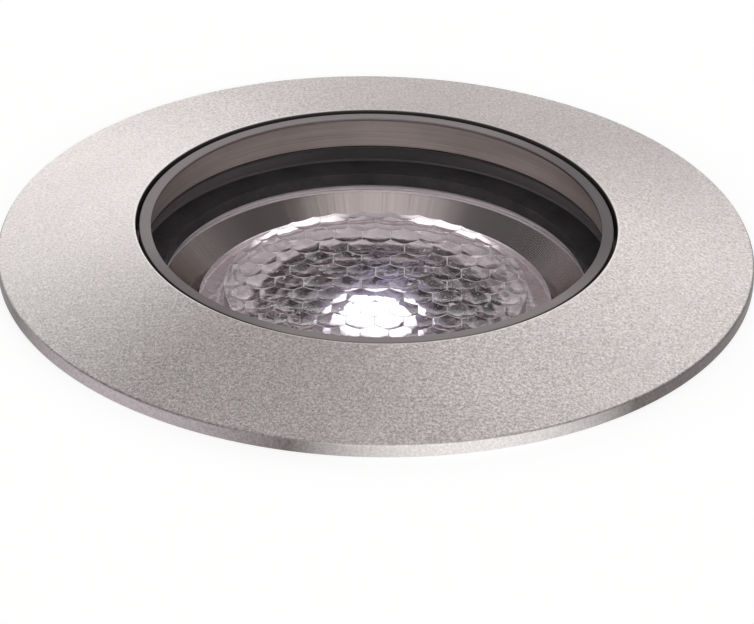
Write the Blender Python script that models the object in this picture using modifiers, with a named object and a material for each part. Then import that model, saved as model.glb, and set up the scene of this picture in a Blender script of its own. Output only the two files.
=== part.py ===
"""Recessed deck light, in metres: +Z up, the deck's surface at z = 0 and the light's axis on Z."""

import math

import bmesh
import bpy
from mathutils import Matrix, Vector

# Fits that are shared by all pieces.
FIT_GAP = 0.0003
SEAT_GAP = 0.0001
CUT_OVERRUN = 0.001
MERGE_DISTANCE = 0.000001

# Counts of facets and copies.
FINE_STEPS = 56
RING_STEPS = 36
SMALL_STEPS = 16
SCREW_STEPS = 10
HEX_STEPS = 6
HEX_CORNER_SHARE = 1 / math.cos(math.pi / HEX_STEPS)
ARC_STEPS = 2
PLACES = 3
FIRST_SCREW_TURN = math.radians(30)
FIRST_CLIP_TURN = math.radians(90)

# Trim ring: a shallow cone that rises to the opening, with a collar under it.
FLANGE_WIDTH = 0.0104
TRIM_EDGE_HEIGHT = 0.00145
TRIM_CROWN_HEIGHT = 0.00474
TRIM_WALL = 0.0014
TRIM_LAND_WIDTH = 0.003
TRIM_EDGE_ROUND = 0.0002
COLLAR_WALL = 0.002
COLLAR_DEPTH = 0.007
COLLAR_GAP = 0.0003

# Deck gasket, in the hollow under the trim ring.
GASKET_WIDTH = 0.0045

# Bezel ring: a thin neck with a lip that is turned in over the opening.
LIP_WIDTH = 0.00085
LIP_THICKNESS = 0.0003
LIP_DROP = 0.00028
LIP_ROUND = 0.00012
NECK_WALL = 0.00035
REVEAL_GAP = 0.00035
BEZEL_FOOT_HEIGHT = 0.0011

# Glass window and its two seals.
GLASS_TOP = 0.0003
GLASS_THICKNESS = 0.004
GLASS_CHAMFER = 0.0003
GLASS_EDGE_COVER = 0.0009
GLASS_SEAT_WALL = 0.0007
UPPER_SEAL_THICKNESS = 0.0003
LOWER_SEAL_THICKNESS = 0.0006
SEAL_SKIRT_WALL = 0.0005
SEAL_SKIRT_DEPTH = 0.0011

# Housing tube.
HOUSING_RADIUS = 0.0254
HOUSING_WALL = 0.0025
STOP_LIP_WIDTH = 0.0007
STOP_LIP_THICKNESS = 0.001

# Lens with a honeycomb face, and its holder.
LENS_SINK = 0.0011
LENS_RIM_WIDTH = 0.0026
LENS_RIM_THICKNESS = 0.0015
LENS_FACE_RISE = 0.0016
LENS_BODY_DEPTH = 0.0068
LENS_FOOT_RADIUS = 0.0056
LENS_CURVE_POINTS = 5
FACET_PITCH = 0.0029
FACET_RISE = 0.0003
LED_HOLLOW_RADIUS = 0.0032
LED_HOLLOW_DEPTH = 0.0035
HOLDER_EDGE_WIDTH = 0.0005
HOLDER_COLLAR_HEIGHT = 0.0015
HOLDER_WALL = 0.0008
HOLDER_FOOT_DROP = 0.0006

# Reflector cup round the lens.
CUP_EDGE_WIDTH = 0.001
CUP_CONE_WIDTH = 0.0029
CUP_CONE_DEPTH = 0.003
CUP_WALL = 0.0006

# LED board, LED and thermal pad.
LED_BOARD_THICKNESS = 0.0016
LED_SIDE = 0.0035
LED_HEIGHT = 0.0007
LED_DOME_RADIUS = 0.0013
PAD_THICKNESS = 0.0005
BOARD_SCREW_INSET = 0.0015
BOARD_SCREW_COUNT = 2
BOARD_SCREW_LENGTH = 0.005

# Heat sink and the ring that retains it.
SINK_HEIGHT = 0.018
SINK_BASE = 0.006
SLOT_PITCH = 0.0044
SLOT_WIDTH = 0.0024
SLOT_PAIRS = 5
LEAD_HOLE_RADIUS = 0.001
RETAINER_THICKNESS = 0.001
RETAINER_GRIP = 0.0007
RETAINER_WIDTH = 0.0031
RETAINER_OPENING = 0.009

# Back cap and its seal.
CAP_THICKNESS = 0.0029
CAP_CHAMFER = 0.0004
CAP_PLUG_HEIGHT = 0.0066
CAP_SEAL_DEPTH = 0.002
CAP_SEAL_WIRE = 0.0007
CAP_GROOVE_WIDTH = 0.002
CAP_SCREW_DEPTH = 0.0045
CAP_SCREW_LENGTH = 0.006

# Driver board, its standoffs and what is on it.
DRIVER_EDGE_GAP = 0.0023
DRIVER_HEADROOM = 0.003
DRIVER_THICKNESS = 0.0016
DRIVER_NOTCH_RADIUS = 0.0045
STANDOFF_HEIGHT = 0.005
STANDOFF_WALL = 0.0007
STANDOFF_INSET = 0.0027
DRIVER_SCREW_LENGTH = 0.004
CAPACITOR_RADIUS = 0.0032
CAPACITOR_HEIGHT = 0.0085
INDUCTOR_FLANGE_WIDTH = 0.0008
INDUCTOR_HEIGHT = 0.005
INDUCTOR_FLANGE = 0.0009
INDUCTOR_CORE_RADIUS = 0.003
CHIP_LENGTH = 0.005
CHIP_WIDTH = 0.004
CHIP_HEIGHT = 0.0015
TERMINAL_LENGTH = 0.0076
TERMINAL_WIDTH = 0.0066
TERMINAL_HEIGHT = 0.0075
TERMINAL_PITCH = 0.0036
TERMINAL_HOLE_RADIUS = 0.0012

# Leads from the driver board up to the LED board.
LEAD_RADIUS = 0.0005
LEAD_INSET = 0.0017
LEAD_SIDE_GAP = 0.0008
LEAD_INNER_REACH = 0.0025
LEAD_BEND = 0.0008
LEAD_RISE_SHARE = 0.55

# Cable gland in the back cap.
CABLE_BORE = 0.0036
GLAND_BORE_GAP = 0.0004
GLAND_SEAL_WALL = 0.0016
GLAND_SEAL_HEAD = 0.0028
GLAND_NECK_WALL = 0.0015
GLAND_NECK_LENGTH = 0.0058
GLAND_THREAD_RISE = 0.0007
GLAND_HEX_WIDTH = 0.00226
GLAND_HEX_HEIGHT = 0.004
GLAND_WASHER_THICKNESS = 0.001
GLAND_WASHER_WIDTH = 0.0025
LOCKNUT_HEIGHT = 0.0036
LOCKNUT_WALL = 0.00135
GLAND_NUT_WALL = 0.0018
GLAND_NUT_FLAT_RISE = 0.00025
GLAND_NUT_HEX_HEIGHT = 0.006
GLAND_NUT_FLOOR = 0.0031
GLAND_NUT_MOUTH_GAP = 0.0008

# Screws: radii of shank, head and socket, and the head's height.
SMALL_SCREW = {"shank": 0.0008, "head": 0.0013, "rise": 0.0009}
BOARD_SCREW = {"shank": 0.0010, "head": 0.0021, "rise": 0.0013}
CAP_SCREW = {"shank": 0.0015, "head": 0.0026, "rise": 0.0015}
CLIP_SCREW = {"shank": 0.00125, "head": 0.0022, "rise": 0.0011}
SOCKET_SHARE = 0.45
SOCKET_DEPTH_SHARE = 0.5
SET_SCREW_RADIUS = 0.0015
SET_SCREW_DEPTH = 0.0038
SET_SCREW_SINK = 0.0002

# Sprung clips, each on a bracket on a flat of the housing.
CLIP_FLAT_DEPTH = 0.0005
BRACKET_WALL = 0.001
BRACKET_RISE = 0.011
BRACKET_DROP = 0.005
EAR_RISE = 0.0002
KNUCKLE_CLEARANCE = 0.0007
PIVOT_DEPTH = 0.038
PIN_RADIUS = 0.0008
PIN_HEAD_RISE = 0.0006
PIN_HEAD_THICKNESS = 0.0006
CLIP_SCREW_RISE = 0.007
CLIP_SCREW_LENGTH = 0.0028
ARM_LENGTH = 0.014
ARM_THICKNESS = 0.0008
ARM_RAIL_WIDTH = 0.001
ARM_WINDOW_MARGIN = 0.005
ARM_TIP_REACH = 0.0014
KNUCKLE_RISE = 0.00015
CLIP_OPEN_ANGLE = math.radians(60)

# Torsion springs on the clips.
SPRING_WIRE = 0.0003
SPRING_PIN_GAP = 0.00035
SPRING_PITCH = 0.00105
SPRING_SIDE_GAP = 0.000325
SPRING_TURNS = 3
SPRING_TURN_POINTS = 9
SPRING_LEG_MARGIN = 0.0018
SPRING_BRACKET_LEG = 0.004

# Levels along the axis, from the opening down.
LIP_TOP = TRIM_CROWN_HEIGHT - LIP_DROP
UPPER_SEAL_BOTTOM = GLASS_TOP + SEAT_GAP
UPPER_SEAL_TOP = UPPER_SEAL_BOTTOM + UPPER_SEAL_THICKNESS
BEZEL_BOTTOM = UPPER_SEAL_TOP + SEAT_GAP
BEZEL_SHOULDER = BEZEL_BOTTOM + BEZEL_FOOT_HEIGHT
HUB_BOTTOM = BEZEL_SHOULDER + SEAT_GAP
HOUSING_TOP = BEZEL_BOTTOM - SEAT_GAP
GLASS_BOTTOM = GLASS_TOP - GLASS_THICKNESS
LOWER_SEAL_TOP = GLASS_BOTTOM - SEAT_GAP
LOWER_SEAL_BOTTOM = LOWER_SEAL_TOP - LOWER_SEAL_THICKNESS
GLASS_SHOULDER = LOWER_SEAL_BOTTOM - SEAT_GAP
STOP_LIP_BOTTOM = GLASS_SHOULDER - STOP_LIP_THICKNESS
CUP_TOP = STOP_LIP_BOTTOM - SEAT_GAP
LENS_RIM_TOP = CUP_TOP - LENS_SINK
LENS_FACE_TOP = LENS_RIM_TOP + LENS_FACE_RISE
LENS_RIM_BOTTOM = LENS_RIM_TOP - LENS_RIM_THICKNESS
LENS_BOTTOM = LENS_RIM_BOTTOM - LENS_BODY_DEPTH
HOLDER_TOP = LENS_RIM_BOTTOM - SEAT_GAP
HOLDER_BOTTOM = LENS_BOTTOM - HOLDER_FOOT_DROP
LED_BOARD_TOP = HOLDER_BOTTOM - SEAT_GAP
LED_BOARD_BOTTOM = LED_BOARD_TOP - LED_BOARD_THICKNESS
PAD_TOP = LED_BOARD_BOTTOM - SEAT_GAP
SINK_TOP = PAD_TOP - PAD_THICKNESS - SEAT_GAP
SINK_BOTTOM = SINK_TOP - SINK_HEIGHT
RETAINER_TOP = SINK_BOTTOM - SEAT_GAP
RETAINER_BOTTOM = RETAINER_TOP - RETAINER_THICKNESS
TALLEST_COMPONENT = max(CAPACITOR_HEIGHT, INDUCTOR_HEIGHT, TERMINAL_HEIGHT, CHIP_HEIGHT)
PART_TOP = RETAINER_BOTTOM - DRIVER_HEADROOM - TALLEST_COMPONENT
DRIVER_TOP = PART_TOP - SEAT_GAP
DRIVER_BOTTOM = DRIVER_TOP - DRIVER_THICKNESS
STANDOFF_TOP = DRIVER_BOTTOM - SEAT_GAP
STANDOFF_BOTTOM = STANDOFF_TOP - STANDOFF_HEIGHT
PLUG_TOP = STANDOFF_BOTTOM - SEAT_GAP
CAP_TOP = PLUG_TOP - CAP_PLUG_HEIGHT
CAP_BOTTOM = CAP_TOP - CAP_THICKNESS
HOUSING_BOTTOM = CAP_TOP + SEAT_GAP
WASHER_TOP = CAP_BOTTOM - SEAT_GAP
GLAND_HEX_TOP = WASHER_TOP - GLAND_WASHER_THICKNESS - SEAT_GAP
GLAND_HEX_BOTTOM = GLAND_HEX_TOP - GLAND_HEX_HEIGHT
GLAND_NECK_BOTTOM = GLAND_HEX_BOTTOM - GLAND_NECK_LENGTH
GLAND_SEAL_BOTTOM = GLAND_NECK_BOTTOM - SEAT_GAP - GLAND_SEAL_HEAD
GLAND_NUT_TOP = GLAND_HEX_BOTTOM - FIT_GAP
GLAND_NUT_BOTTOM = GLAND_SEAL_BOTTOM - FIT_GAP - GLAND_NUT_FLOOR

# Radii in the head of the light, from the housing's wall inwards and outwards.
GLASS_SEAT_RADIUS = HOUSING_RADIUS - GLASS_SEAT_WALL
GLASS_RADIUS = GLASS_SEAT_RADIUS - FIT_GAP
WALL_RADIUS = GLASS_RADIUS - GLASS_EDGE_COVER
LIP_RADIUS = WALL_RADIUS - LIP_WIDTH
NECK_RADIUS = WALL_RADIUS + NECK_WALL
TRIM_BORE_RADIUS = NECK_RADIUS + REVEAL_GAP
COLLAR_BORE_RADIUS = HOUSING_RADIUS + COLLAR_GAP
COLLAR_RADIUS = COLLAR_BORE_RADIUS + COLLAR_WALL
TRIM_RADIUS = COLLAR_RADIUS + FLANGE_WIDTH

# Radii inside the housing, from its bore inwards.
HOUSING_BORE_RADIUS = HOUSING_RADIUS - HOUSING_WALL
STOP_LIP_RADIUS = HOUSING_BORE_RADIUS - STOP_LIP_WIDTH
CARTRIDGE_RADIUS = HOUSING_BORE_RADIUS - FIT_GAP
CUP_OPENING_RADIUS = CARTRIDGE_RADIUS - CUP_EDGE_WIDTH
CUP_THROAT_RADIUS = CUP_OPENING_RADIUS - CUP_CONE_WIDTH
HOLDER_RADIUS = CUP_THROAT_RADIUS - FIT_GAP
LENS_RIM_RADIUS = HOLDER_RADIUS - HOLDER_EDGE_WIDTH
LENS_FACE_RADIUS = LENS_RIM_RADIUS - LENS_RIM_WIDTH
LEAD_RING = CARTRIDGE_RADIUS - LEAD_INSET
LED_BOARD_RADIUS = LEAD_RING - LEAD_RADIUS - LEAD_SIDE_GAP
BOARD_SCREW_RING = LED_BOARD_RADIUS - BOARD_SCREW_INSET
RETAINER_RADIUS = HOUSING_BORE_RADIUS + RETAINER_GRIP
DRIVER_RADIUS = CARTRIDGE_RADIUS - DRIVER_EDGE_GAP
STANDOFF_BORE = BOARD_SCREW["shank"] + FIT_GAP
STANDOFF_RADIUS = (STANDOFF_BORE + STANDOFF_WALL) * HEX_CORNER_SHARE
STANDOFF_RING = DRIVER_RADIUS - STANDOFF_INSET
INDUCTOR_RADIUS = INDUCTOR_CORE_RADIUS + INDUCTOR_FLANGE_WIDTH

# Radii of the gland, from the cable's bore outwards.
GLAND_BORE = CABLE_BORE + GLAND_BORE_GAP
GLAND_SLEEVE_RADIUS = CABLE_BORE + GLAND_SEAL_WALL
GLAND_NECK_BORE = GLAND_SLEEVE_RADIUS + FIT_GAP
GLAND_NECK_RADIUS = GLAND_NECK_BORE + GLAND_NECK_WALL
GLAND_THREAD_RADIUS = GLAND_NECK_RADIUS + GLAND_THREAD_RISE
GLAND_HEX_RADIUS = (GLAND_THREAD_RADIUS + GLAND_HEX_WIDTH) * HEX_CORNER_SHARE
CAP_HOLE_RADIUS = GLAND_THREAD_RADIUS + FIT_GAP
GLAND_WASHER_RADIUS = CAP_HOLE_RADIUS + GLAND_WASHER_WIDTH
LOCKNUT_RADIUS = (CAP_HOLE_RADIUS + LOCKNUT_WALL) * HEX_CORNER_SHARE
GLAND_NUT_BORE = GLAND_NECK_RADIUS + FIT_GAP
GLAND_DOME_RADIUS = GLAND_NUT_BORE + GLAND_NUT_WALL
GLAND_NUT_RADIUS = (GLAND_DOME_RADIUS + GLAND_NUT_FLAT_RISE) * HEX_CORNER_SHARE
GLAND_NUT_MOUTH = CABLE_BORE + GLAND_NUT_MOUTH_GAP

# Sizes of the clips, from the pin and its spring outwards.
SPRING_RADIUS = PIN_RADIUS + SPRING_PIN_GAP + SPRING_WIRE
SPRING_WIDTH = SPRING_TURNS * SPRING_PITCH
KNUCKLE_RADIUS = SPRING_RADIUS + SPRING_WIRE + KNUCKLE_RISE
EAR_RADIUS = KNUCKLE_RADIUS + EAR_RISE
PIN_HEAD_RADIUS = PIN_RADIUS + PIN_HEAD_RISE
ARM_WINDOW_WIDTH = SPRING_WIDTH + 2 * (SPRING_WIRE + SPRING_SIDE_GAP)
ARM_WIDTH = ARM_WINDOW_WIDTH + 2 * ARM_RAIL_WIDTH
ARM_WINDOW_LENGTH = ARM_LENGTH - ARM_WINDOW_MARGIN
SPRING_ARM_LEG = ARM_WINDOW_LENGTH - SPRING_LEG_MARGIN
BRACKET_WIDTH = ARM_WIDTH + 2 * (FIT_GAP + BRACKET_WALL)
CLIP_FLAT_RADIUS = HOUSING_RADIUS - CLIP_FLAT_DEPTH
PIVOT_STANDOFF = SEAT_GAP + BRACKET_WALL + KNUCKLE_CLEARANCE + KNUCKLE_RADIUS
PIVOT_RADIUS = CLIP_FLAT_RADIUS + PIVOT_STANDOFF


def clear_scene():
    for obj in list(bpy.data.objects):
        bpy.data.objects.remove(obj, do_unlink=True)


clear_scene()
parts = bpy.data.collections.new("recessed_deck_light")
cutters = bpy.data.collections.new("recessed_deck_light_cutters")
bpy.context.scene.collection.children.link(parts)
bpy.context.scene.collection.children.link(cutters)


def finish(name, colour, metallic, roughness, transmission=0.0):
    material = bpy.data.materials.new(name)
    material.use_nodes = True
    shader = material.node_tree.nodes["Principled BSDF"]
    shader.inputs["Base Color"].default_value = (*colour, 1.0)
    shader.inputs["Metallic"].default_value = metallic
    shader.inputs["Roughness"].default_value = roughness
    shader.inputs["Transmission Weight"].default_value = transmission
    return material


BLASTED_METAL = finish("blasted_metal", (0.50, 0.48, 0.46), 0.7, 0.55)
BRUSHED_STEEL = finish("brushed_steel", (0.33, 0.30, 0.28), 1.0, 0.35)
SATIN_ALUMINIUM = finish("satin_aluminium", (0.55, 0.54, 0.53), 1.0, 0.4)
CAST_ALUMINIUM = finish("cast_aluminium", (0.38, 0.38, 0.39), 0.9, 0.5)
BRIGHT_STEEL = finish("bright_steel", (0.62, 0.62, 0.63), 1.0, 0.25)
SPRING_STEEL = finish("spring_steel", (0.42, 0.42, 0.44), 1.0, 0.3)
CLEAR_GLASS = finish("clear_glass", (1.0, 1.0, 1.0), 0.0, 0.02, 1.0)
CLEAR_PLASTIC = finish("clear_plastic", (0.98, 0.98, 1.0), 0.0, 0.05, 1.0)
BLACK_RUBBER = finish("black_rubber", (0.02, 0.02, 0.02), 0.0, 0.8)
BLACK_PLASTIC = finish("black_plastic", (0.03, 0.03, 0.03), 0.0, 0.45)
WHITE_MASK = finish("white_solder_mask", (0.85, 0.85, 0.83), 0.0, 0.4)
GREEN_MASK = finish("green_solder_mask", (0.03, 0.20, 0.08), 0.0, 0.35)
GREY_PAD = finish("grey_thermal_pad", (0.35, 0.36, 0.38), 0.0, 0.85)
PHOSPHOR = finish("led_phosphor", (0.90, 0.75, 0.20), 0.0, 0.4)
CLEAR_SILICONE = finish("clear_silicone", (0.95, 0.95, 0.95), 0.0, 0.1, 1.0)
DARK_FERRITE = finish("dark_ferrite", (0.07, 0.07, 0.08), 0.0, 0.6)
RED_LEAD = finish("red_lead", (0.55, 0.03, 0.03), 0.0, 0.5)
BLACK_LEAD = finish("black_lead", (0.02, 0.02, 0.02), 0.0, 0.5)
GREEN_PLASTIC = finish("green_plastic", (0.05, 0.32, 0.12), 0.0, 0.45)


def add_object(name, mesh, material, collection=parts):
    obj = bpy.data.objects.new(name, mesh)
    collection.objects.link(obj)
    if material:
        mesh.materials.append(material)
    return obj


def smooth(mesh, angle=math.radians(35)):
    mesh.shade_smooth()
    mesh.set_sharp_from_angle(angle=angle)


def rounded(corners, closed=True):
    """Points of an outline. A corner is (x, y), or (x, y, radius) where it is turned into an arc."""
    count = len(corners)
    points = []
    for index, corner in enumerate(corners):
        here = Vector(corner[:2])
        at_end = not closed and index in (0, count - 1)
        if len(corner) < 3 or at_end:
            points.append(here)
            continue
        before = Vector(corners[index - 1][:2]) - here
        after = Vector(corners[(index + 1) % count][:2]) - here
        half_turn = before.angle(after) / 2
        reach = min(corner[2] / math.tan(half_turn), before.length / 2, after.length / 2)
        radius = reach * math.tan(half_turn)
        before.normalize()
        after.normalize()
        centre = here + (before + after).normalized() * (radius / math.sin(half_turn))
        first = here + before * reach - centre
        last = here + after * reach - centre
        sweep = first.angle_signed(last)
        for step in range(ARC_STEPS + 1):
            turn = Matrix.Rotation(-sweep * step / ARC_STEPS, 2)
            points.append(centre + turn @ first)
    return points


def turned(name, corners, material, steps=RING_STEPS, closed=True, collection=parts):
    """A profile of (radius, height) corners, clockwise with the axis at its left, turned about Z."""
    points = rounded(corners, closed)
    edges = [(index, index + 1) for index in range(len(points) - 1)]
    if closed:
        edges.append((len(points) - 1, 0))
    mesh = bpy.data.meshes.new(name)
    mesh.from_pydata([(point.x, 0, point.y) for point in points], edges, [])
    obj = add_object(name, mesh, material, collection)
    spin = obj.modifiers.new("turn", "SCREW")
    spin.steps = steps
    spin.render_steps = steps
    spin.use_merge_vertices = True
    spin.merge_threshold = MERGE_DISTANCE
    spin.use_smooth_shade = steps > HEX_STEPS
    return obj


def tube(name, outer, inner, top, bottom, material, steps=RING_STEPS, collection=parts):
    corners = [(outer, top), (outer, bottom), (inner, bottom), (inner, top)]
    return turned(name, corners, material, steps, collection=collection)


def rod(name, radius, low, high, material, steps=SMALL_STEPS, collection=parts):
    """A cylinder on Z from the height low to the height high."""
    mesh = bpy.data.meshes.new(name)
    shape = bmesh.new()
    bmesh.ops.create_cone(
        shape, cap_ends=True, segments=steps, radius1=radius, radius2=radius, depth=high - low
    )
    bmesh.ops.translate(shape, verts=shape.verts, vec=(0, 0, (high + low) / 2))
    shape.to_mesh(mesh)
    shape.free()
    smooth(mesh)
    return add_object(name, mesh, material, collection)


def block(name, size, centre, material, collection=parts):
    mesh = bpy.data.meshes.new(name)
    shape = bmesh.new()
    bmesh.ops.create_cube(shape, size=1)
    bmesh.ops.scale(shape, verts=shape.verts, vec=size)
    bmesh.ops.translate(shape, verts=shape.verts, vec=centre)
    shape.to_mesh(mesh)
    shape.free()
    return add_object(name, mesh, material, collection)


def sideways_plate(name, corners, width, material, collection=parts):
    """An outline in X and Z with the given width along Y."""
    curve = bpy.data.curves.new(name, "CURVE")
    curve.dimensions = "2D"
    curve.fill_mode = "BOTH"
    curve.extrude = width / 2
    points = rounded(corners)
    spline = curve.splines.new("POLY")
    spline.points.add(len(points) - 1)
    for slot, point in zip(spline.points, points):
        slot.co = (point.x, point.y, 0, 1)
    spline.use_cyclic_u = True
    guide = bpy.data.objects.new(name + "_guide", curve)
    guide.rotation_euler = (math.radians(90), 0, 0)
    bpy.context.scene.collection.objects.link(guide)
    return mesh_from_curve(name, guide, material, collection)


def mesh_from_curve(name, guide, material, collection=parts):
    """The curve's shape as a mesh object, with the loose caps welded."""
    bpy.context.view_layer.update()
    graph = bpy.context.evaluated_depsgraph_get()
    mesh = bpy.data.meshes.new_from_object(guide.evaluated_get(graph))
    mesh.transform(guide.matrix_world)
    shape = bmesh.new()
    shape.from_mesh(mesh)
    bmesh.ops.remove_doubles(shape, verts=shape.verts, dist=MERGE_DISTANCE)
    bmesh.ops.recalc_face_normals(shape, faces=shape.faces)
    shape.to_mesh(mesh)
    shape.free()
    mesh.materials.clear()
    bpy.data.objects.remove(guide, do_unlink=True)
    return add_object(name, mesh, material, collection)


def wire(name, points, radius, material, bevel_resolution):
    curve = bpy.data.curves.new(name, "CURVE")
    curve.dimensions = "3D"
    curve.bevel_depth = radius
    curve.bevel_resolution = bevel_resolution
    curve.use_fill_caps = True
    spline = curve.splines.new("POLY")
    spline.points.add(len(points) - 1)
    for slot, point in zip(spline.points, points):
        slot.co = (*point, 1)
    curve.materials.append(material)
    obj = bpy.data.objects.new(name, curve)
    parts.objects.link(obj)
    return obj


def change(target, other, operation):
    """Cuts the other shape out of the target, or joins it to the target."""
    other.hide_render = True
    other.display_type = "WIRE"
    step = target.modifiers.new(other.name, "BOOLEAN")
    step.operation = operation
    step.object = other
    return target


def cut(target, other):
    return change(target, other, "DIFFERENCE")


def join(target, other):
    return change(target, other, "UNION")


def on_ring(radius, turn, height):
    return Vector((radius * math.cos(turn), radius * math.sin(turn), height))


def turns(first, count=PLACES):
    return [first + index * math.tau / count for index in range(count)]


def hole(target, name, radius, place, low, high, steps=SMALL_STEPS):
    """A hole along Z, from the height low to the height high at the given place."""
    drill = rod(name, radius, low, high, None, steps, cutters)
    drill.location = (place[0], place[1], 0)
    return cut(target, drill)


def radial_hole(target, name, radius, inner, outer, turn, height, steps=SMALL_STEPS):
    """A hole along a radius of the light, from the distance inner to the distance outer."""
    drill = rod(name, radius, inner, outer, None, steps, cutters)
    drill.rotation_euler = (0, math.radians(90), turn)
    drill.location = (0, 0, height)
    return cut(target, drill)


def screw(name, kind, length, material=None):
    """A pan-head screw on Z, its shank below the origin and its head above it."""
    socket = kind["head"] * SOCKET_SHARE
    floor = kind["rise"] * (1 - SOCKET_DEPTH_SHARE)
    corners = [
        (0, floor),
        (socket, floor),
        (socket, kind["rise"]),
        (kind["head"], kind["rise"]),
        (kind["head"], 0),
        (kind["shank"], 0),
        (kind["shank"], -length),
        (0, -length),
    ]
    return turned(name, corners, material or BRIGHT_STEEL, SCREW_STEPS, closed=False)


def trim_top(radius):
    """Height of the trim ring's cone at a radius."""
    share = (TRIM_RADIUS - radius) / (TRIM_RADIUS - TRIM_BORE_RADIUS)
    return TRIM_EDGE_HEIGHT + share * (TRIM_CROWN_HEIGHT - TRIM_EDGE_HEIGHT)


def trim_ring():
    land = TRIM_RADIUS - TRIM_LAND_WIDTH
    corners = [
        (TRIM_BORE_RADIUS, TRIM_CROWN_HEIGHT, TRIM_EDGE_ROUND),
        (TRIM_RADIUS, TRIM_EDGE_HEIGHT, TRIM_EDGE_ROUND),
        (TRIM_RADIUS, 0, TRIM_EDGE_ROUND),
        (land, 0),
        (land, trim_top(land) - TRIM_WALL),
        (COLLAR_RADIUS, trim_top(COLLAR_RADIUS) - TRIM_WALL),
        (COLLAR_RADIUS, -COLLAR_DEPTH),
        (COLLAR_BORE_RADIUS, -COLLAR_DEPTH),
        (COLLAR_BORE_RADIUS, HUB_BOTTOM),
        (TRIM_BORE_RADIUS, HUB_BOTTOM),
    ]
    ring = turned("trim_ring", corners, BLASTED_METAL, FINE_STEPS)
    for index, turn in enumerate(turns(FIRST_SCREW_TURN)):
        radial_hole(
            ring,
            f"set_screw_hole_{index + 1}",
            SET_SCREW_RADIUS + FIT_GAP,
            COLLAR_BORE_RADIUS - CUT_OVERRUN,
            COLLAR_RADIUS + CUT_OVERRUN,
            turn,
            -SET_SCREW_DEPTH,
        )


def deck_gasket():
    outer = TRIM_RADIUS - TRIM_LAND_WIDTH - FIT_GAP
    inner = outer - GASKET_WIDTH
    drop = TRIM_WALL + FIT_GAP
    corners = [
        (outer, trim_top(outer) - drop),
        (outer, 0),
        (inner, 0),
        (inner, trim_top(inner) - drop),
    ]
    turned("deck_gasket", corners, BLACK_RUBBER)


def bezel_ring():
    underside = LIP_TOP - LIP_THICKNESS
    corners = [
        (LIP_RADIUS, LIP_TOP, LIP_ROUND),
        (NECK_RADIUS, LIP_TOP, LIP_ROUND),
        (NECK_RADIUS, BEZEL_SHOULDER),
        (HOUSING_RADIUS, BEZEL_SHOULDER),
        (HOUSING_RADIUS, BEZEL_BOTTOM),
        (WALL_RADIUS, BEZEL_BOTTOM),
        (WALL_RADIUS, underside),
        (LIP_RADIUS, underside, LIP_ROUND),
    ]
    turned("bezel_ring", corners, BRUSHED_STEEL, FINE_STEPS)


def glass_and_seals():
    tube(
        "upper_glass_seal",
        GLASS_RADIUS,
        WALL_RADIUS + SEAT_GAP,
        UPPER_SEAL_TOP,
        UPPER_SEAL_BOTTOM,
        BLACK_RUBBER,
    )
    corners = [
        (0, GLASS_TOP),
        (GLASS_RADIUS - GLASS_CHAMFER, GLASS_TOP),
        (GLASS_RADIUS, GLASS_TOP - GLASS_CHAMFER),
        (GLASS_RADIUS, GLASS_BOTTOM + GLASS_CHAMFER),
        (GLASS_RADIUS - GLASS_CHAMFER, GLASS_BOTTOM),
        (0, GLASS_BOTTOM),
    ]
    turned("glass_window", corners, CLEAR_GLASS, closed=False)
    skirt = STOP_LIP_RADIUS - FIT_GAP
    corners = [
        (GLASS_RADIUS, LOWER_SEAL_TOP),
        (GLASS_RADIUS, LOWER_SEAL_BOTTOM),
        (skirt, LOWER_SEAL_BOTTOM),
        (skirt, LOWER_SEAL_BOTTOM - SEAL_SKIRT_DEPTH),
        (skirt - SEAL_SKIRT_WALL, LOWER_SEAL_BOTTOM - SEAL_SKIRT_DEPTH),
        (skirt - SEAL_SKIRT_WALL, LOWER_SEAL_TOP),
    ]
    turned("lower_glass_seal", corners, BLACK_RUBBER)


def clip_turns():
    return turns(FIRST_CLIP_TURN)


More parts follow.
